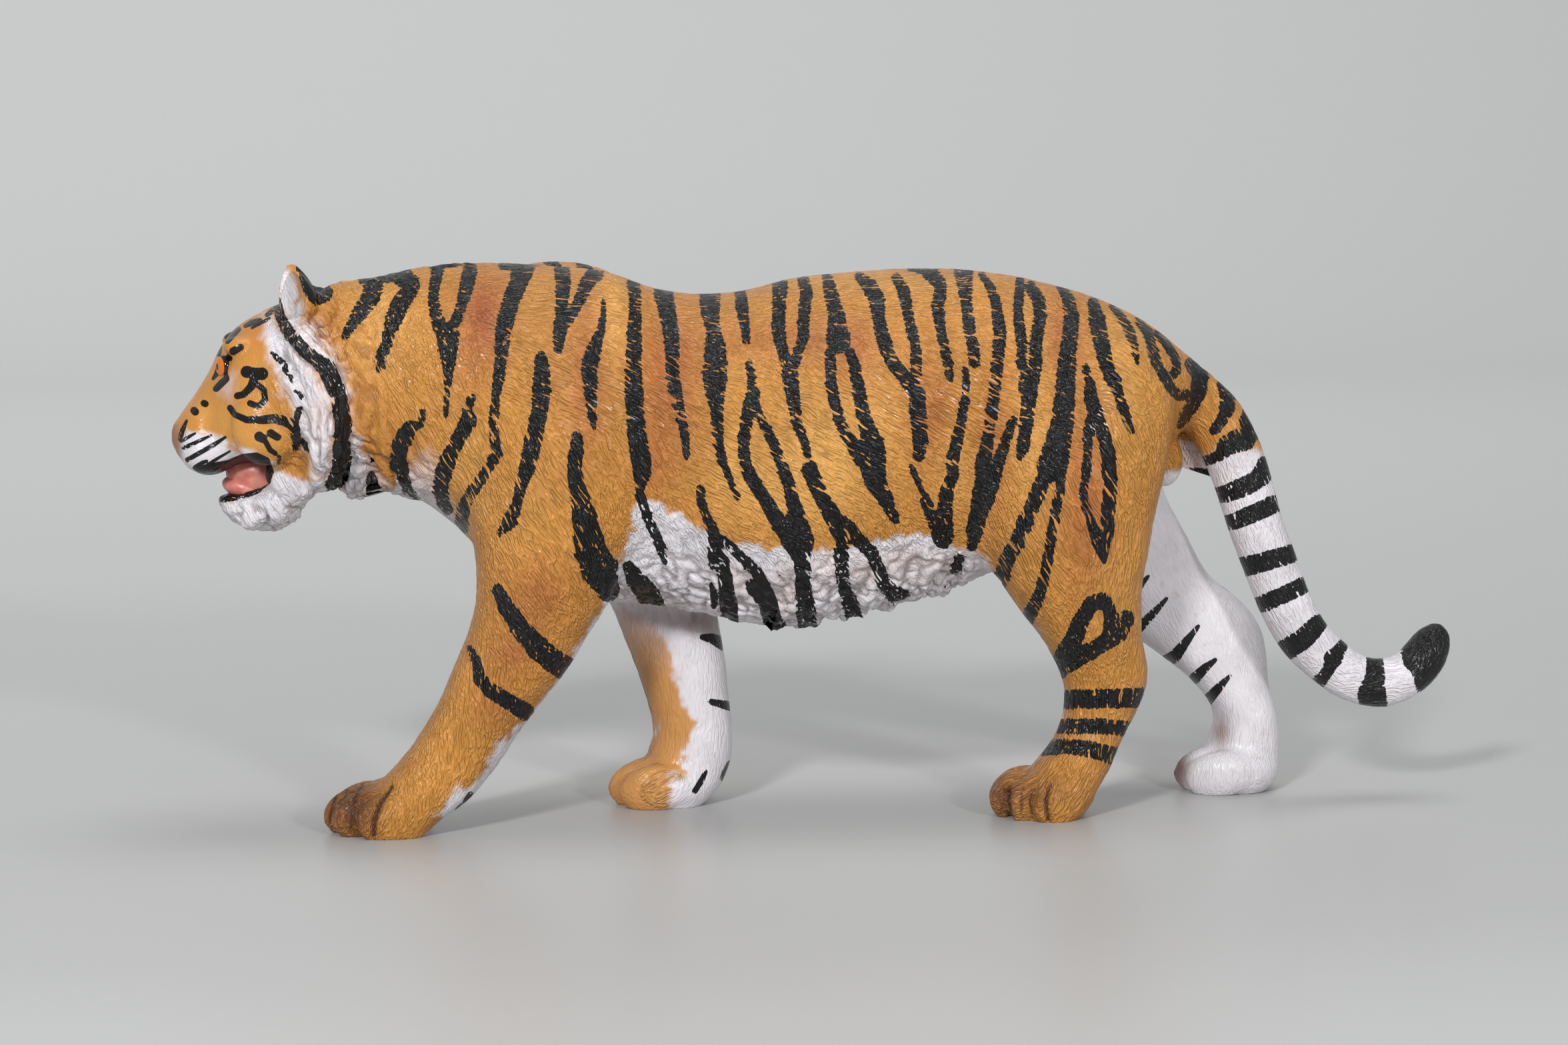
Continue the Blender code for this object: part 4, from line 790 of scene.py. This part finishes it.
LIGHT_PATCHES = (
    (560, 480, 40, 90, 0.8), (1100, 420, 160, 14, 0.7), (1350, 425, 150, 16, 0.7),
    (920, 470, 22, 90, 0.7), (1240, 700, 60, 90, 0.6), (1100, 700, 40, 60, 0.6), (1430, 720, 30, 60, 0.6),
    (1545, 640, 25, 120, 0.7), (1690, 560, 40, 120, 0.7), (850, 560, 20, 120, 0.4),
    (700, 700, 30, 80, 0.6), (560, 1080, 40, 80, 0.5), (640, 990, 40, 80, 0.5), (1680, 900, 40, 90, 0.4),
    (330, 620, 40, 30, 0.4), (1190, 730, 90, 70, 0.8), (1320, 620, 40, 100, 0.4),
    (1240, 640, 60, 80, 0.4), (620, 480, 60, 50, 0.3), (360, 660, 60, 25, 0.35), (1140, 470, 60, 30, 0.3),
    (780, 760, 40, 60, 0.3),
)
# Where the fur is long and stands in locks: centre, half width, half height and strength
SHAGGY_PLACES = (
    (475, 610, 45, 130, 1.4), (400, 775, 80, 35, 1), (545, 600, 45, 120, 0.7), (600, 500, 80, 80, 0.4),
    (600, 690, 60, 60, 0.8), (1100, 900, 120, 60, 1), (1250, 900, 140, 60, 1), (1000, 830, 60, 70, 0.6),
    (1400, 860, 90, 50, 1), (445, 545, 30, 55, 0.8), (680, 600, 60, 90, 0.3), (660, 395, 60, 12, 0.6),
    (930, 880, 40, 40, 0.5), (545, 740, 40, 30, 1), (515, 480, 30, 60, 0.25),
)
# Where the skin is nearly bare of carving
SMOOTH_PLACES = (
    (320, 610, 80, 100, 1.3), (430, 430, 40, 50, 0.5), (370, 500, 50, 60, 1), (390, 600, 28, 60, 0.9),
    (350, 715, 75, 35, 1.2), (465, 425, 30, 30, 0.8), (1980, 900, 220, 240, 0.55),
    (400, 660, 30, 30, 0.7),
)


def spread(pixels, patches):
    """Soft ovals added up: each is its strength times exp(-(x/a)^2 - (y/b)^2) from its centre."""
    total = np.zeros(len(pixels))
    for x, y, half_width, half_height, strength in patches:
        total += strength * np.exp(-((pixels[:, 0] - x) / half_width) ** 2
                                   - ((pixels[:, 1] - y) / half_height) ** 2)
    return np.clip(total, 0, 1)


def mixed(a, b, share):
    """a moved towards b by the share: a + (b - a) * share."""
    return a + (np.asarray(b) - a) * np.asarray(share)[:, None]


def covered(pixels, areas, waver):
    """How far the pixels lie inside any of the areas, 0 to 1 across each one's soft edge."""
    share = np.zeros(len(pixels))
    for softness, outline in areas:
        share = np.maximum(share, ramp(area_distance(pixels, outline) + waver, -softness, softness))
    return share


class Skin:
    """One skin's points and quads, with what the paint needs to know of every point."""

    def __init__(self, points, quads):
        self.quads, self.rest = quads, points
        self.normals = normals_of(points, quads)
        x, y, z = points.T
        self.on_tail, tail_middle = self.tail_share()
        drawn_in = (BANDS_DRAWN_IN * self.on_tail)[:, None]
        self.pixels = photo_pixels(folded(points + drawn_in * (tail_middle - points)))
        self.shares = fur_angles(self.pixels)
        self.leg = ramp(z, 20.0, 17.5) * (1 - self.on_tail)
        self.inner = -np.sign(y) * self.normals[:, 1]
        top = np.where(x > 8, 38.0, 25.0)
        self.thigh = ramp(z, top + 2, top - 2) * (1 - self.on_tail) * ((x > 13) | (x < -6) | (z < 18))
        self.inner_leg = self.thigh * ramp(self.inner, 0.05, 0.35) * (np.abs(y) > 1.5)

    def tail_share(self):
        """How far a point is on the tail, from 0 to 1, and the place on the tail's line nearest to it."""
        gap = np.full(len(self.rest), 99.0)
        middle = self.rest.copy()
        behind = np.nonzero(self.rest[:, 0] > RUMP_X - 2)[0]
        line = tail_rows()
        for place in smooth_rows([row[:3] for row in (*line[5:18], line[19])], 6):
            here = np.linalg.norm(self.rest[behind] - place, axis=1)
            nearer = here < gap[behind]
            gap[behind[nearer]] = here[nearer]
            middle[behind[nearer]] = place
        return ramp(gap, TAIL_RADIUS + 2.2, TAIL_RADIUS + 1.0), middle

    def carve(self):
        """Pushes the skin out and in along its normals, by locks of fur where it is long and by strands."""
        shaggy = spread(self.pixels, SHAGGY_PLACES) * (1 - self.leg)
        smooth = np.maximum(spread(self.pixels, SMOOTH_PLACES), 0.85 * self.inner_leg)
        big = np.abs(2 * locks(self.rest, self.shares, 3.2, 0.85, 11) - 1)
        small = np.abs(2 * locks(self.rest, self.shares, 1.7, 0.42, 31) - 1)
        lumps = np.minimum(1.9 * big, 1) ** 0.7
        curls = np.minimum(1.9 * small, 1) ** 0.7
        # The furrows between the locks, which the coat darkens with painted shade
        furrows = np.exp(-(big / 0.13) ** 2) + 0.6 * np.exp(-(small / 0.12) ** 2)
        self.groove = np.clip(furrows, 0, 1) * shaggy
        rise = shaggy * (0.50 * (lumps - 0.62) + 0.20 * (curls - 0.5))
        rise += 0.08 * (1 - smooth) * (curls - 0.5) * (1 - shaggy)
        under = ramp(-self.normals[:, 2], 0.2, 0.9) * ramp(self.rest[:, 2], 17.5, 19.5) * (1 - self.thigh)
        tufts = soft_noise(self.rest / [1.5, 2.5, 9.0], 71) - 0.5
        rise += under * shaggy * (1.7 * tufts - 0.1)
        for side in (-1, 1):
            eye = np.array([EYE_PLACE[0] - 0.3, side * EYE_PLACE[1], EYE_PLACE[2]]) + SET_DOWN
            rise -= 0.45 * np.exp(-(np.linalg.norm(self.rest - eye, axis=1) / 1.5) ** 2)
        for line in TOE_GROOVES:
            rise -= 0.35 * ramp(stroke_distance(self.pixels, (line,)), 5, -2) * self.leg
        self.shaggy, self.smooth = shaggy, smooth
        self.points = self.rest + self.normals * rise[:, None]
        self.points[:, 2] = np.maximum(self.points[:, 2], 0.0)
        self.facing = normals_of(self.points, self.quads)

    def paint(self):
        """Sets the coat's colour, the millimetres to the black paint, and what else steers the shader."""
        waver = (soft_noise(self.rest / 1.1, 5) - 0.5) * 14 + (soft_noise(self.rest / 0.45, 6) - 0.5) * 8
        pixels, straight = self.pixels, photo_pixels(self.rest)
        leg, thigh, inner, ahead = self.leg, self.thigh, self.inner, self.normals[:, 0]
        x, y, z = self.rest.T
        far, fore = y > 0, x < 8
        below = ramp(self.normals[:, 2], -0.55, -0.85) * ramp(z, 17, 19) * (x < 24) * (x > -44)
        white = np.maximum(covered(pixels, WHITE_AREAS, waver), below) * (1 - leg) * (1 - self.inner_leg)
        inside = np.where(far & ~fore, ramp(inner - 0.25 * ahead + waver / 60, -0.3, -0.05),
                          ramp(inner + np.where(fore, 1.0, -0.25) * ahead + waver / 50, 0.15, 0.55))
        far_orange = ramp(area_distance(straight, FAR_ORANGE_AREA) + 1.5 * waver, -8, 8) * (far & fore)
        far_orange *= ramp(z + waver / 8, 24, 12) * 0.45 + 0.5
        inside = np.where(far & fore, np.maximum(inside, ramp(inner, -0.2, 0.2)) * (1 - far_orange), inside)
        far_upper = ramp(z, 30, 26) * ramp(-inner, -0.1, 0.3) * (far & (x > -28) & (x < -6))
        fringe = ramp(area_distance(pixels, NEAR_LEG_FRINGE) + 1.2 * waver, -7, 7) * ~far * fore
        under_tail = ramp(z, 35.2, 34.2) * ((x > 32) & (x < 38.5) & (np.abs(y) < 4)) * (1 - self.on_tail)
        white = np.max([white * (1 - far_upper), inside * thigh, fringe * thigh, under_tail], axis=0)
        toes = spread(pixels, BROWN_PATCHES) * leg * ~far
        # Distance to the painted shade in the toes' creases, on the near side only
        crease_shade = stroke_distance(np.where(far[:, None], -99.0, pixels), TOE_CREASE_SHADE_STROKES)
        coat = np.tile(np.array(ORANGE), (len(self.rest), 1))
        for colour, share in (
                (RED_BROWN, spread(pixels, RED_PATCHES)),
                (LIGHT_ORANGE, spread(pixels, LIGHT_PATCHES)),
                (PINK_WHITE, 0.75 * covered(pixels, PINK_AREAS, waver)),
                (WHITE, white),
                (SHADE, 0.8 * spread(straight, FAR_SHADE_PATCHES) * far * thigh),
                (PINK_WHITE, spread(pixels, BELLY_PINK_PATCHES) * white),
                (NOSE_PINK, 0.8 * ramp(area_distance(pixels, NOSE_AREA) + waver / 4, -5, 5)),
                (TOE_BROWN, toes),
                (TOE_BROWN, 0.8 * spread(straight, FAR_BROWN_PATCHES) * leg * far),
                (TOE_CREASE_SHADE, 0.85 * ramp(crease_shade, 1.5, -1.5) * leg)):
            coat = mixed(coat, colour, share)
        outer = stroke_distance(pixels, OUTER_STROKES)
        for area in BLACK_AREAS:
            outer = np.minimum(outer, -area_distance(pixels, area))
        outer = outer / PIXELS_PER_MM + 3.0 * far * leg + np.where(far | ~fore, 3.0, 0.5) * self.inner_leg
        marks = stroke_distance(straight, FAR_LEG_STROKES) / PIXELS_PER_MM
        marks += 3.0 * (1 - np.maximum(leg, self.inner_leg) * far)
        self.paints = {
            "coat": np.hstack([coat, np.ones((len(coat), 1))]),
            "ink": np.clip(np.minimum(outer, marks), -2.5, 2.5),
            "groove": self.groove, "whiteness": white, "shaggy": self.shaggy, "toes": toes,
            "bare": np.max([self.smooth, 0.5 * self.on_tail, 0.85 * white * thigh], axis=0),
            "flow_level": self.shares[:, :3], "flow_steep": self.shares[:, 3:],
        }


def piece_of(name, skin, kept, material):
    """A closed piece from some of a skin's quads: fans close its holes, and its shading is the skin's."""
    used, faces = np.unique(skin.quads[kept], return_inverse=True)
    faces = faces.reshape(-1, 4)
    starts, ends = faces.ravel(), np.roll(faces, -1, 1).ravel()
    is_open = ~np.isin(starts * len(used) + ends, ends * len(used) + starts)
    points = skin.points[used]
    faces = faces.tolist()
    holes = loops_of(starts[is_open], ends[is_open])
    for middle, hole in enumerate(holes, len(used)):
        points = np.vstack([points, points[hole].mean(0)])
        faces += [[int(b), int(a), middle] for a, b in zip(hole, np.roll(hole, -1))]
    mesh = mesh_of(name, points, faces)
    mesh.shade_smooth()
    normals = np.vstack([skin.facing[used], np.tile([0, 0, 1.0], (len(holes), 1))])
    mesh.normals_split_custom_set_from_vertices(normals.tolist())
    kinds = {1: ("FLOAT", "value"), 3: ("FLOAT_VECTOR", "vector"), 4: ("FLOAT_COLOR", "color")}
    for label, values in skin.paints.items():
        rows = values.reshape(len(values), -1)[np.concatenate([used, np.repeat(used[:1], len(holes))])]
        kind, key = kinds[rows.shape[1]]
        mesh.attributes.new(label, kind, "POINT").data.foreach_set(key, rows.astype(np.float32).ravel())
    mesh.materials.append(material)
    return placed(name, mesh)


def loops_of(starts, ends):
    """Closed chains of points from the open edges of a cut."""
    onward = {}
    for start, end in zip(starts.tolist(), ends.tolist()):
        onward.setdefault(start, []).append(end)
    loops = []
    while onward:
        first = next(iter(onward))
        loop = [first]
        while len(loop) == 1 or loop[-1] != first:
            choices = onward[loop[-1]]
            following = choices.pop()
            if not choices:
                del onward[loop[-1]]
            loop.append(following)
        loops.append(np.array(loop[:-1]))
    return loops


class Value:
    """A number worked out in a material. Each sign between two makes a Math node."""

    def __init__(self, nodes, socket):
        self.nodes, self.socket = nodes, socket

    def __add__(self, other):
        return self.nodes.maths("ADD", self, other)

    def __sub__(self, other):
        return self.nodes.maths("SUBTRACT", self, other)

    def __rsub__(self, other):
        return self.nodes.maths("SUBTRACT", other, self)

    def __mul__(self, other):
        return self.nodes.maths("MULTIPLY", self, other)

    __radd__, __rmul__ = __add__, __mul__


class Nodes:
    """Short hands for building one material's nodes."""

    def __init__(self, name):
        self.material = bpy.data.materials.new(name)
        self.material.use_nodes = True
        self.tree = self.material.node_tree
        self.shader = self.tree.nodes["Principled BSDF"]

    def node(self, kind, **settings):
        made = self.tree.nodes.new(kind)
        for key, value in settings.items():
            setattr(made, key, value)
        return made

    def put(self, socket, value):
        value = getattr(value, "socket", value)
        if isinstance(value, bpy.types.NodeSocket):
            self.tree.links.new(value, socket)
        else:
            socket.default_value = value

    def maths(self, operation, *values):
        made = self.node("ShaderNodeMath", operation=operation)
        for socket, value in zip(made.inputs, values):
            self.put(socket, value)
        return Value(self, made.outputs[0])

    def step(self, value, low, high, to_low=0.0, to_high=1.0):
        """to_low at low and to_high at high, with a smooth step between them."""
        made = self.node("ShaderNodeMapRange", interpolation_type="SMOOTHSTEP")
        for socket, given in zip(made.inputs, (value, low, high, to_low, to_high)):
            self.put(socket, given)
        return Value(self, made.outputs[0])

    def mix(self, share, a, b):
        made = self.node("ShaderNodeMix", data_type="RGBA")
        self.put(made.inputs["Factor"], share)
        for socket, value in ((made.inputs[6], a), (made.inputs[7], b)):
            self.put(socket, (*value, 1.0) if isinstance(value, tuple) else value)
        return made.outputs[2]

    def attribute(self, name, output="Fac"):
        return Value(self, self.node("ShaderNodeAttribute", attribute_name=name).outputs[output])

    def split(self, vector):
        made = self.node("ShaderNodeSeparateXYZ")
        self.put(made.inputs[0], vector)
        return [Value(self, output) for output in made.outputs]

    def noise(self, vector, scale, detail=2.0, roughness=0.5):
        made = self.node("ShaderNodeTexNoise")
        self.put(made.inputs["Vector"], vector)
        made.inputs["Scale"].default_value = scale
        made.inputs["Detail"].default_value = detail
        made.inputs["Roughness"].default_value = roughness
        return Value(self, made.outputs["Fac"])

    def bump(self, height, distance, strength=1.0):
        made = self.node("ShaderNodeBump")
        made.inputs["Distance"].default_value = distance
        made.inputs["Strength"].default_value = strength
        self.put(made.inputs["Height"], height)
        self.put(self.shader.inputs["Normal"], made.outputs[0])


def strands(nodes, place, shares, length, width, detail):
    """Noise drawn out along the fur, each direction's weighed by how much the fur lies that way.

    Gives the noise, and its distance from its middle, whose zero runs along the crests of strands.
    """
    total, fold = 0.0, 0.0
    for angle, share in zip(FUR_ANGLES, shares):
        turned = nodes.node("ShaderNodeMapping", vector_type="TEXTURE")
        nodes.put(turned.inputs["Vector"], place)
        turned.inputs["Rotation"].default_value = (0, np.radians(angle), 0)
        turned.inputs["Scale"].default_value = (length * MM, width * MM, width * MM)
        here = nodes.noise(turned.outputs[0], 1.0, detail)
        total = here * share + total
        fold = nodes.maths("ABSOLUTE", here - 0.5) * share + fold
    return total, fold


def painted_coat():
    """Semi-gloss paint on carved strands: brushed black that skips over grooves, painted shade in them, and
    painted shade and highlight across the strands.
    """
    nodes = Nodes("painted_coat")
    place = nodes.node("ShaderNodeTexCoord").outputs["Object"]
    shares = [*nodes.split(nodes.attribute("flow_level", "Vector")),
              *nodes.split(nodes.attribute("flow_steep", "Vector"))]
    bare, white, shaggy, toes = map(nodes.attribute, ("bare", "whiteness", "shaggy", "toes"))
    furry = 1.0 - bare
    bend = nodes.node("ShaderNodeTexNoise")
    nodes.put(bend.inputs["Vector"], place)
    bend.inputs["Scale"].default_value = 520.0
    bend.inputs["Detail"].default_value = 0.0
    bent = nodes.node("ShaderNodeVectorMath", operation="MULTIPLY_ADD")
    nodes.put(bent.inputs[0], bend.outputs["Color"])
    bent.inputs[1].default_value = (0.55 * MM,) * 3
    nodes.put(bent.inputs[2], place)
    _, fold = strands(nodes, bent.outputs[0], shares, 2.1, 0.33, 0.6)
    wisp, wisp_fold = strands(nodes, bent.outputs[0], shares, 2.9, 0.30, 1.0)
    ragged = (wisp - 0.5) * (furry * 0.75 + 0.05)
    clustered = nodes.step(nodes.noise(place, 120.0), 0.42, 0.60, 0.35, 1.3)
    skipped = nodes.step(wisp, 0.605, 0.645) * furry * clustered
    black = nodes.step(nodes.attribute("ink") + ragged + skipped, 0.085, 0.015)
    tone = nodes.step(nodes.noise(place, 160.0, 3.0), 0.3, 0.7, 0.90, 1.08)
    # Painted shade and highlight on the strands: a little lighter on their crests, darker between them, and
    # less of both where the skin is bare or white
    strand_shade_and_highlight = nodes.step(fold, 0.06, 0.18, 1.03, 0.86)
    plain = nodes.maths("MAXIMUM", bare * 0.8, white * 0.75)
    streak = nodes.step(fold, 0.02, 0.10) * toes * 0.55
    lit = nodes.node("ShaderNodeVectorMath", operation="SCALE")
    nodes.put(lit.inputs[0], nodes.attribute("coat", "Color"))
    nodes.put(lit.inputs["Scale"], tone * nodes.step(plain, 0.0, 1.0, strand_shade_and_highlight, 1.0) * (1.0 - streak))
    # Painted shade in the grooves of the long fur: darker brown on orange, grey on white
    groove_shade = nodes.step(nodes.attribute("groove"), 0.2, 0.9) * 0.62
    groove_shaded = nodes.mix(groove_shade, lit.outputs[0], nodes.mix(white, GROOVE_SHADE_ON_ORANGE, GROOVE_SHADE_ON_WHITE))
    flecks = nodes.step(nodes.noise(place, 900.0, 2.0), 0.62, 0.70) * 0.12
    spotted = nodes.mix(flecks, groove_shaded, FLECK_BROWN)
    nodes.put(nodes.shader.inputs["Base Color"], nodes.mix(black, spotted, BLACK))
    nodes.put(nodes.shader.inputs["Roughness"], nodes.step(black, 0.0, 1.0, 0.27, 0.22))
    nodes.shader.inputs["Specular IOR Level"].default_value = 0.34
    depth = (furry * 0.86 + 0.14) * nodes.step(shaggy, 0.0, 1.0, 1.0, 0.35)
    crest = nodes.step(fold, 0.0, 0.14, 1.0, 0.0)
    long_crest = nodes.step(wisp_fold, 0.0, 0.10, 1.0, 0.0)
    nodes.bump((long_crest * 0.3 + crest) * depth, 0.00015, 1.0)
    return nodes.material


def eye_paint():
    """Glossy eye: black pupil, orange iris and a dark rim, by the angle from where the eye looks."""
    nodes = Nodes("glossy_eye")
    across = nodes.attribute("from_gaze")
    iris = nodes.mix(nodes.step(across, 0.28, 0.36), BLACK, (0.62, 0.16, 0.010))
    nodes.put(nodes.shader.inputs["Base Color"], nodes.mix(nodes.step(across, 0.84, 0.92), iris, BLACK))
    nodes.shader.inputs["Roughness"].default_value = 0.12
    return nodes.material


def tongue_paint():
    """Moist pink with a soft mottle."""
    nodes = Nodes("pink_mouth")
    place = nodes.node("ShaderNodeTexCoord").outputs["Object"]
    share = nodes.step(nodes.noise(place, 700.0, 2.0), 0.35, 0.65)
    nodes.put(nodes.shader.inputs["Base Color"], nodes.mix(share, (0.50, 0.13, 0.10), (0.62, 0.22, 0.17)))
    nodes.shader.inputs["Roughness"].default_value = 0.35
    nodes.bump(nodes.noise(place, 1500.0, 2.0), 0.0001, 0.5)
    return nodes.material


def plain_piece(name, skins, material, values=None):
    """A piece from a list of closed skins, with a number at each point where one is given."""
    points, faces = joined(skins)
    mesh = mesh_of(name, points + SET_DOWN, faces)
    shape = bmesh.new()
    shape.from_mesh(mesh)
    bmesh.ops.recalc_face_normals(shape, faces=shape.faces)
    shape.to_mesh(mesh)
    shape.free()
    mesh.shade_smooth()
    if values:
        label, numbers = values
        mesh.attributes.new(label, "FLOAT", "POINT").data.foreach_set("value", numbers.astype(np.float32))
    mesh.materials.append(material)
    return placed(name, mesh)


def eyes():
    """Two balls that look forwards and outwards, with the angle of each point from its gaze."""
    skins, angles = [], []
    for side in (-1, 1):
        turn = np.radians(EYE_TURN - 16)
        gaze = np.array([-np.cos(turn), side * np.sin(turn), 0])
        centre = np.array([EYE_PLACE[0] - 0.2, side * (EYE_PLACE[1] + 0.2), EYE_PLACE[2]])
        points, faces = ball(centre, (EYE_RADIUS * 0.6, EYE_RADIUS, EYE_RADIUS), -side * EYE_TURN)
        away = points - centre
        angles.append(np.linalg.norm(away - np.outer(away @ gaze, gaze), axis=1) / EYE_RADIUS
                      + 2.0 * (away @ gaze < 0))
        skins.append((points, faces))
    return plain_piece("eyes", skins, eye_paint(), ("from_gaze", np.concatenate(angles)))


def tongue():
    """The tongue, a flattened ball in the open mouth, and behind it the mouth's lining."""
    return plain_piece("tongue", [
        ball((NOSE_X + 8.0, 0, NOSE_Z - 2.8 - MOUTH_GAPE), (3.0, JAW_HALF_WIDTH - 2.0, 1.3), droop=16),
        ball((NOSE_X + 9.8, 0, NOSE_Z - 1.6 - MOUTH_GAPE), (4.4, JAW_HALF_WIDTH - 1.6, 2.9), droop=14),
    ], tongue_paint())


def skin_pieces():
    """The whole skin as six closed pieces that meet along the edges of their faces."""
    forms = whole_figure()
    material = painted_coat()
    made = []
    front, rear = -99.0, 99.0
    body_pieces = (("near_shoulder", front, BARREL_CUT_X, "near"),
                   ("far_shoulder", front, BARREL_CUT_X, "far"),
                   ("barrel", BARREL_CUT_X, LOIN_CUT_X, "both"),
                   ("near_haunch_and_tail", LOIN_CUT_X, rear, "near"),
                   ("far_haunch", LOIN_CUT_X, rear, "far"))
    head_pieces = (("head", front, NECK_CUT_X, "both"),)
    for voxel, cuts in ((BODY_VOXEL, body_pieces), (HEAD_VOXEL, head_pieces)):
        points, quads = fused(forms, voxel)
        eased = softened(softened(points, quads, 4), quads, 14, ramp(points[:, 2], 8.5, 6.0))
        eased[:, 2] = np.where(points[:, 2] < SOLE_CUT + 0.3, points[:, 2], eased[:, 2])
        skin = Skin(eased + SET_DOWN, quads)
        skin.carve()
        skin.paint()
        middle = skin.rest[quads].mean(1)
        is_head = (middle[:, 0] < NECK_CUT_X) & (middle[:, 2] > CHEST_Z)
        overlapping = (middle[:, 0] < NECK_CUT_X + NECK_OVERLAP) & (middle[:, 2] > CHEST_Z)
        far = (middle[:, 1] > SIDE_CUT_Y) & (middle[:, 0] < TAIL_CUT_X)
        for name, start, end, side in cuts:
            kept = (middle[:, 0] >= start) & (middle[:, 0] < end) & ~is_head
            if name == "head":
                kept = overlapping
            if side != "both":
                kept &= far if side == "far" else ~far
            made.append(piece_of(name, skin, kept, material))
    return made


def backdrop():
    """Pale table and wall: a profile, level and then up a quarter circle, carried along X."""
    near_y, bend_y, radius, top, half_length = -1.2, 0.55, 0.35, 1.1, 1.8
    turn = np.linspace(0, np.pi / 2, 25)
    y = np.concatenate([[near_y], bend_y + radius * np.sin(turn), [bend_y + radius]])
    z = np.concatenate([[0.0], radius * (1 - np.cos(turn)), [top]])
    x = np.array([-half_length, half_length])
    points = np.stack([np.repeat(x, len(y)), np.tile(y, 2), np.tile(z, 2)], 1)
    i = np.arange(len(y) - 1)
    faces = np.stack([i, i + len(y), i + len(y) + 1, i + 1], 1).tolist()
    mesh = bpy.data.meshes.new("backdrop")
    mesh.from_pydata(points.tolist(), [], faces)
    mesh.shade_smooth()
    nodes = Nodes("pale_table")
    x, y, _ = nodes.split(nodes.node("ShaderNodeTexCoord").outputs["Object"])
    # Painted light and shade on the pale colour: lighter up the wall and at the table's front, darkest on
    # the table just in front of the figure, and darker towards +X
    level = nodes.step(y, -0.05, 0.55, 0.0, 0.26) + nodes.step(y, -0.05, -0.11, 0.445, 0.490)
    level = level * (1.0 - x * 0.2)
    tinted = nodes.node("ShaderNodeCombineColor")
    for socket, share in zip(tinted.inputs, (1.0, 1.005, 0.995)):
        nodes.put(socket, level * share)
    nodes.put(nodes.shader.inputs["Base Color"], tinted.outputs[0])
    nodes.shader.inputs["Roughness"].default_value = 0.38
    mesh.materials.append(nodes.material)
    return placed("backdrop", mesh)


def softbox(name, place, size, watts):
    """A square area lamp that faces the figure."""
    light = bpy.data.lights.new(name, "AREA")
    light.shape = "SQUARE"
    light.size = size
    light.energy = watts
    lamp = placed(name, light)
    away = np.array(place) - np.array([0, 0, 0.03])
    away /= np.linalg.norm(away)
    right = np.cross([0, 0, 1], away)
    right /= np.linalg.norm(right)
    turn = np.stack([right, np.cross(away, right), away], 1)
    lamp.matrix_world = Matrix.Translation(place) @ Matrix(turn.tolist()).to_4x4()


def photo_camera():
    """The camera that took the photograph."""
    place, right, up, forward = camera_axes()
    data = bpy.data.cameras.new("photo_camera")
    data.sensor_width = SENSOR_WIDTH
    data.lens = PIXELS_PER_MM * CAMERA_DISTANCE / IMAGE_WIDTH * SENSOR_WIDTH
    data.clip_start = 0.01
    item = placed("photo_camera", data)
    turn = np.stack([right, up, -forward], 1)
    item.matrix_world = Matrix.Translation((place * MM).tolist()) @ Matrix(turn.tolist()).to_4x4()
    bpy.context.scene.camera = item


def studio():
    """World, lamps, camera and backdrop."""
    world = bpy.data.worlds.new("studio")
    world.use_nodes = True
    world.node_tree.nodes["Background"].inputs["Color"].default_value = (0.95, 0.97, 1.0, 1.0)
    world.node_tree.nodes["Background"].inputs["Strength"].default_value = 0.38
    bpy.context.scene.world = world
    bpy.context.scene.view_settings.view_transform = "Standard"
    softbox("key_lamp", (-0.40, -0.78, 0.50), 0.11, 6.0)
    softbox("fill_lamp", (0.34, -0.88, 0.34), 0.09, 3.4)
    softbox("top_lamp", (0.15, 0.10, 0.95), 0.5, 3.2)
    photo_camera()
    backdrop()


for piece in [*skin_pieces(), eyes(), tongue()]:
    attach(piece, "root")
    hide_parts("tiger")
studio()
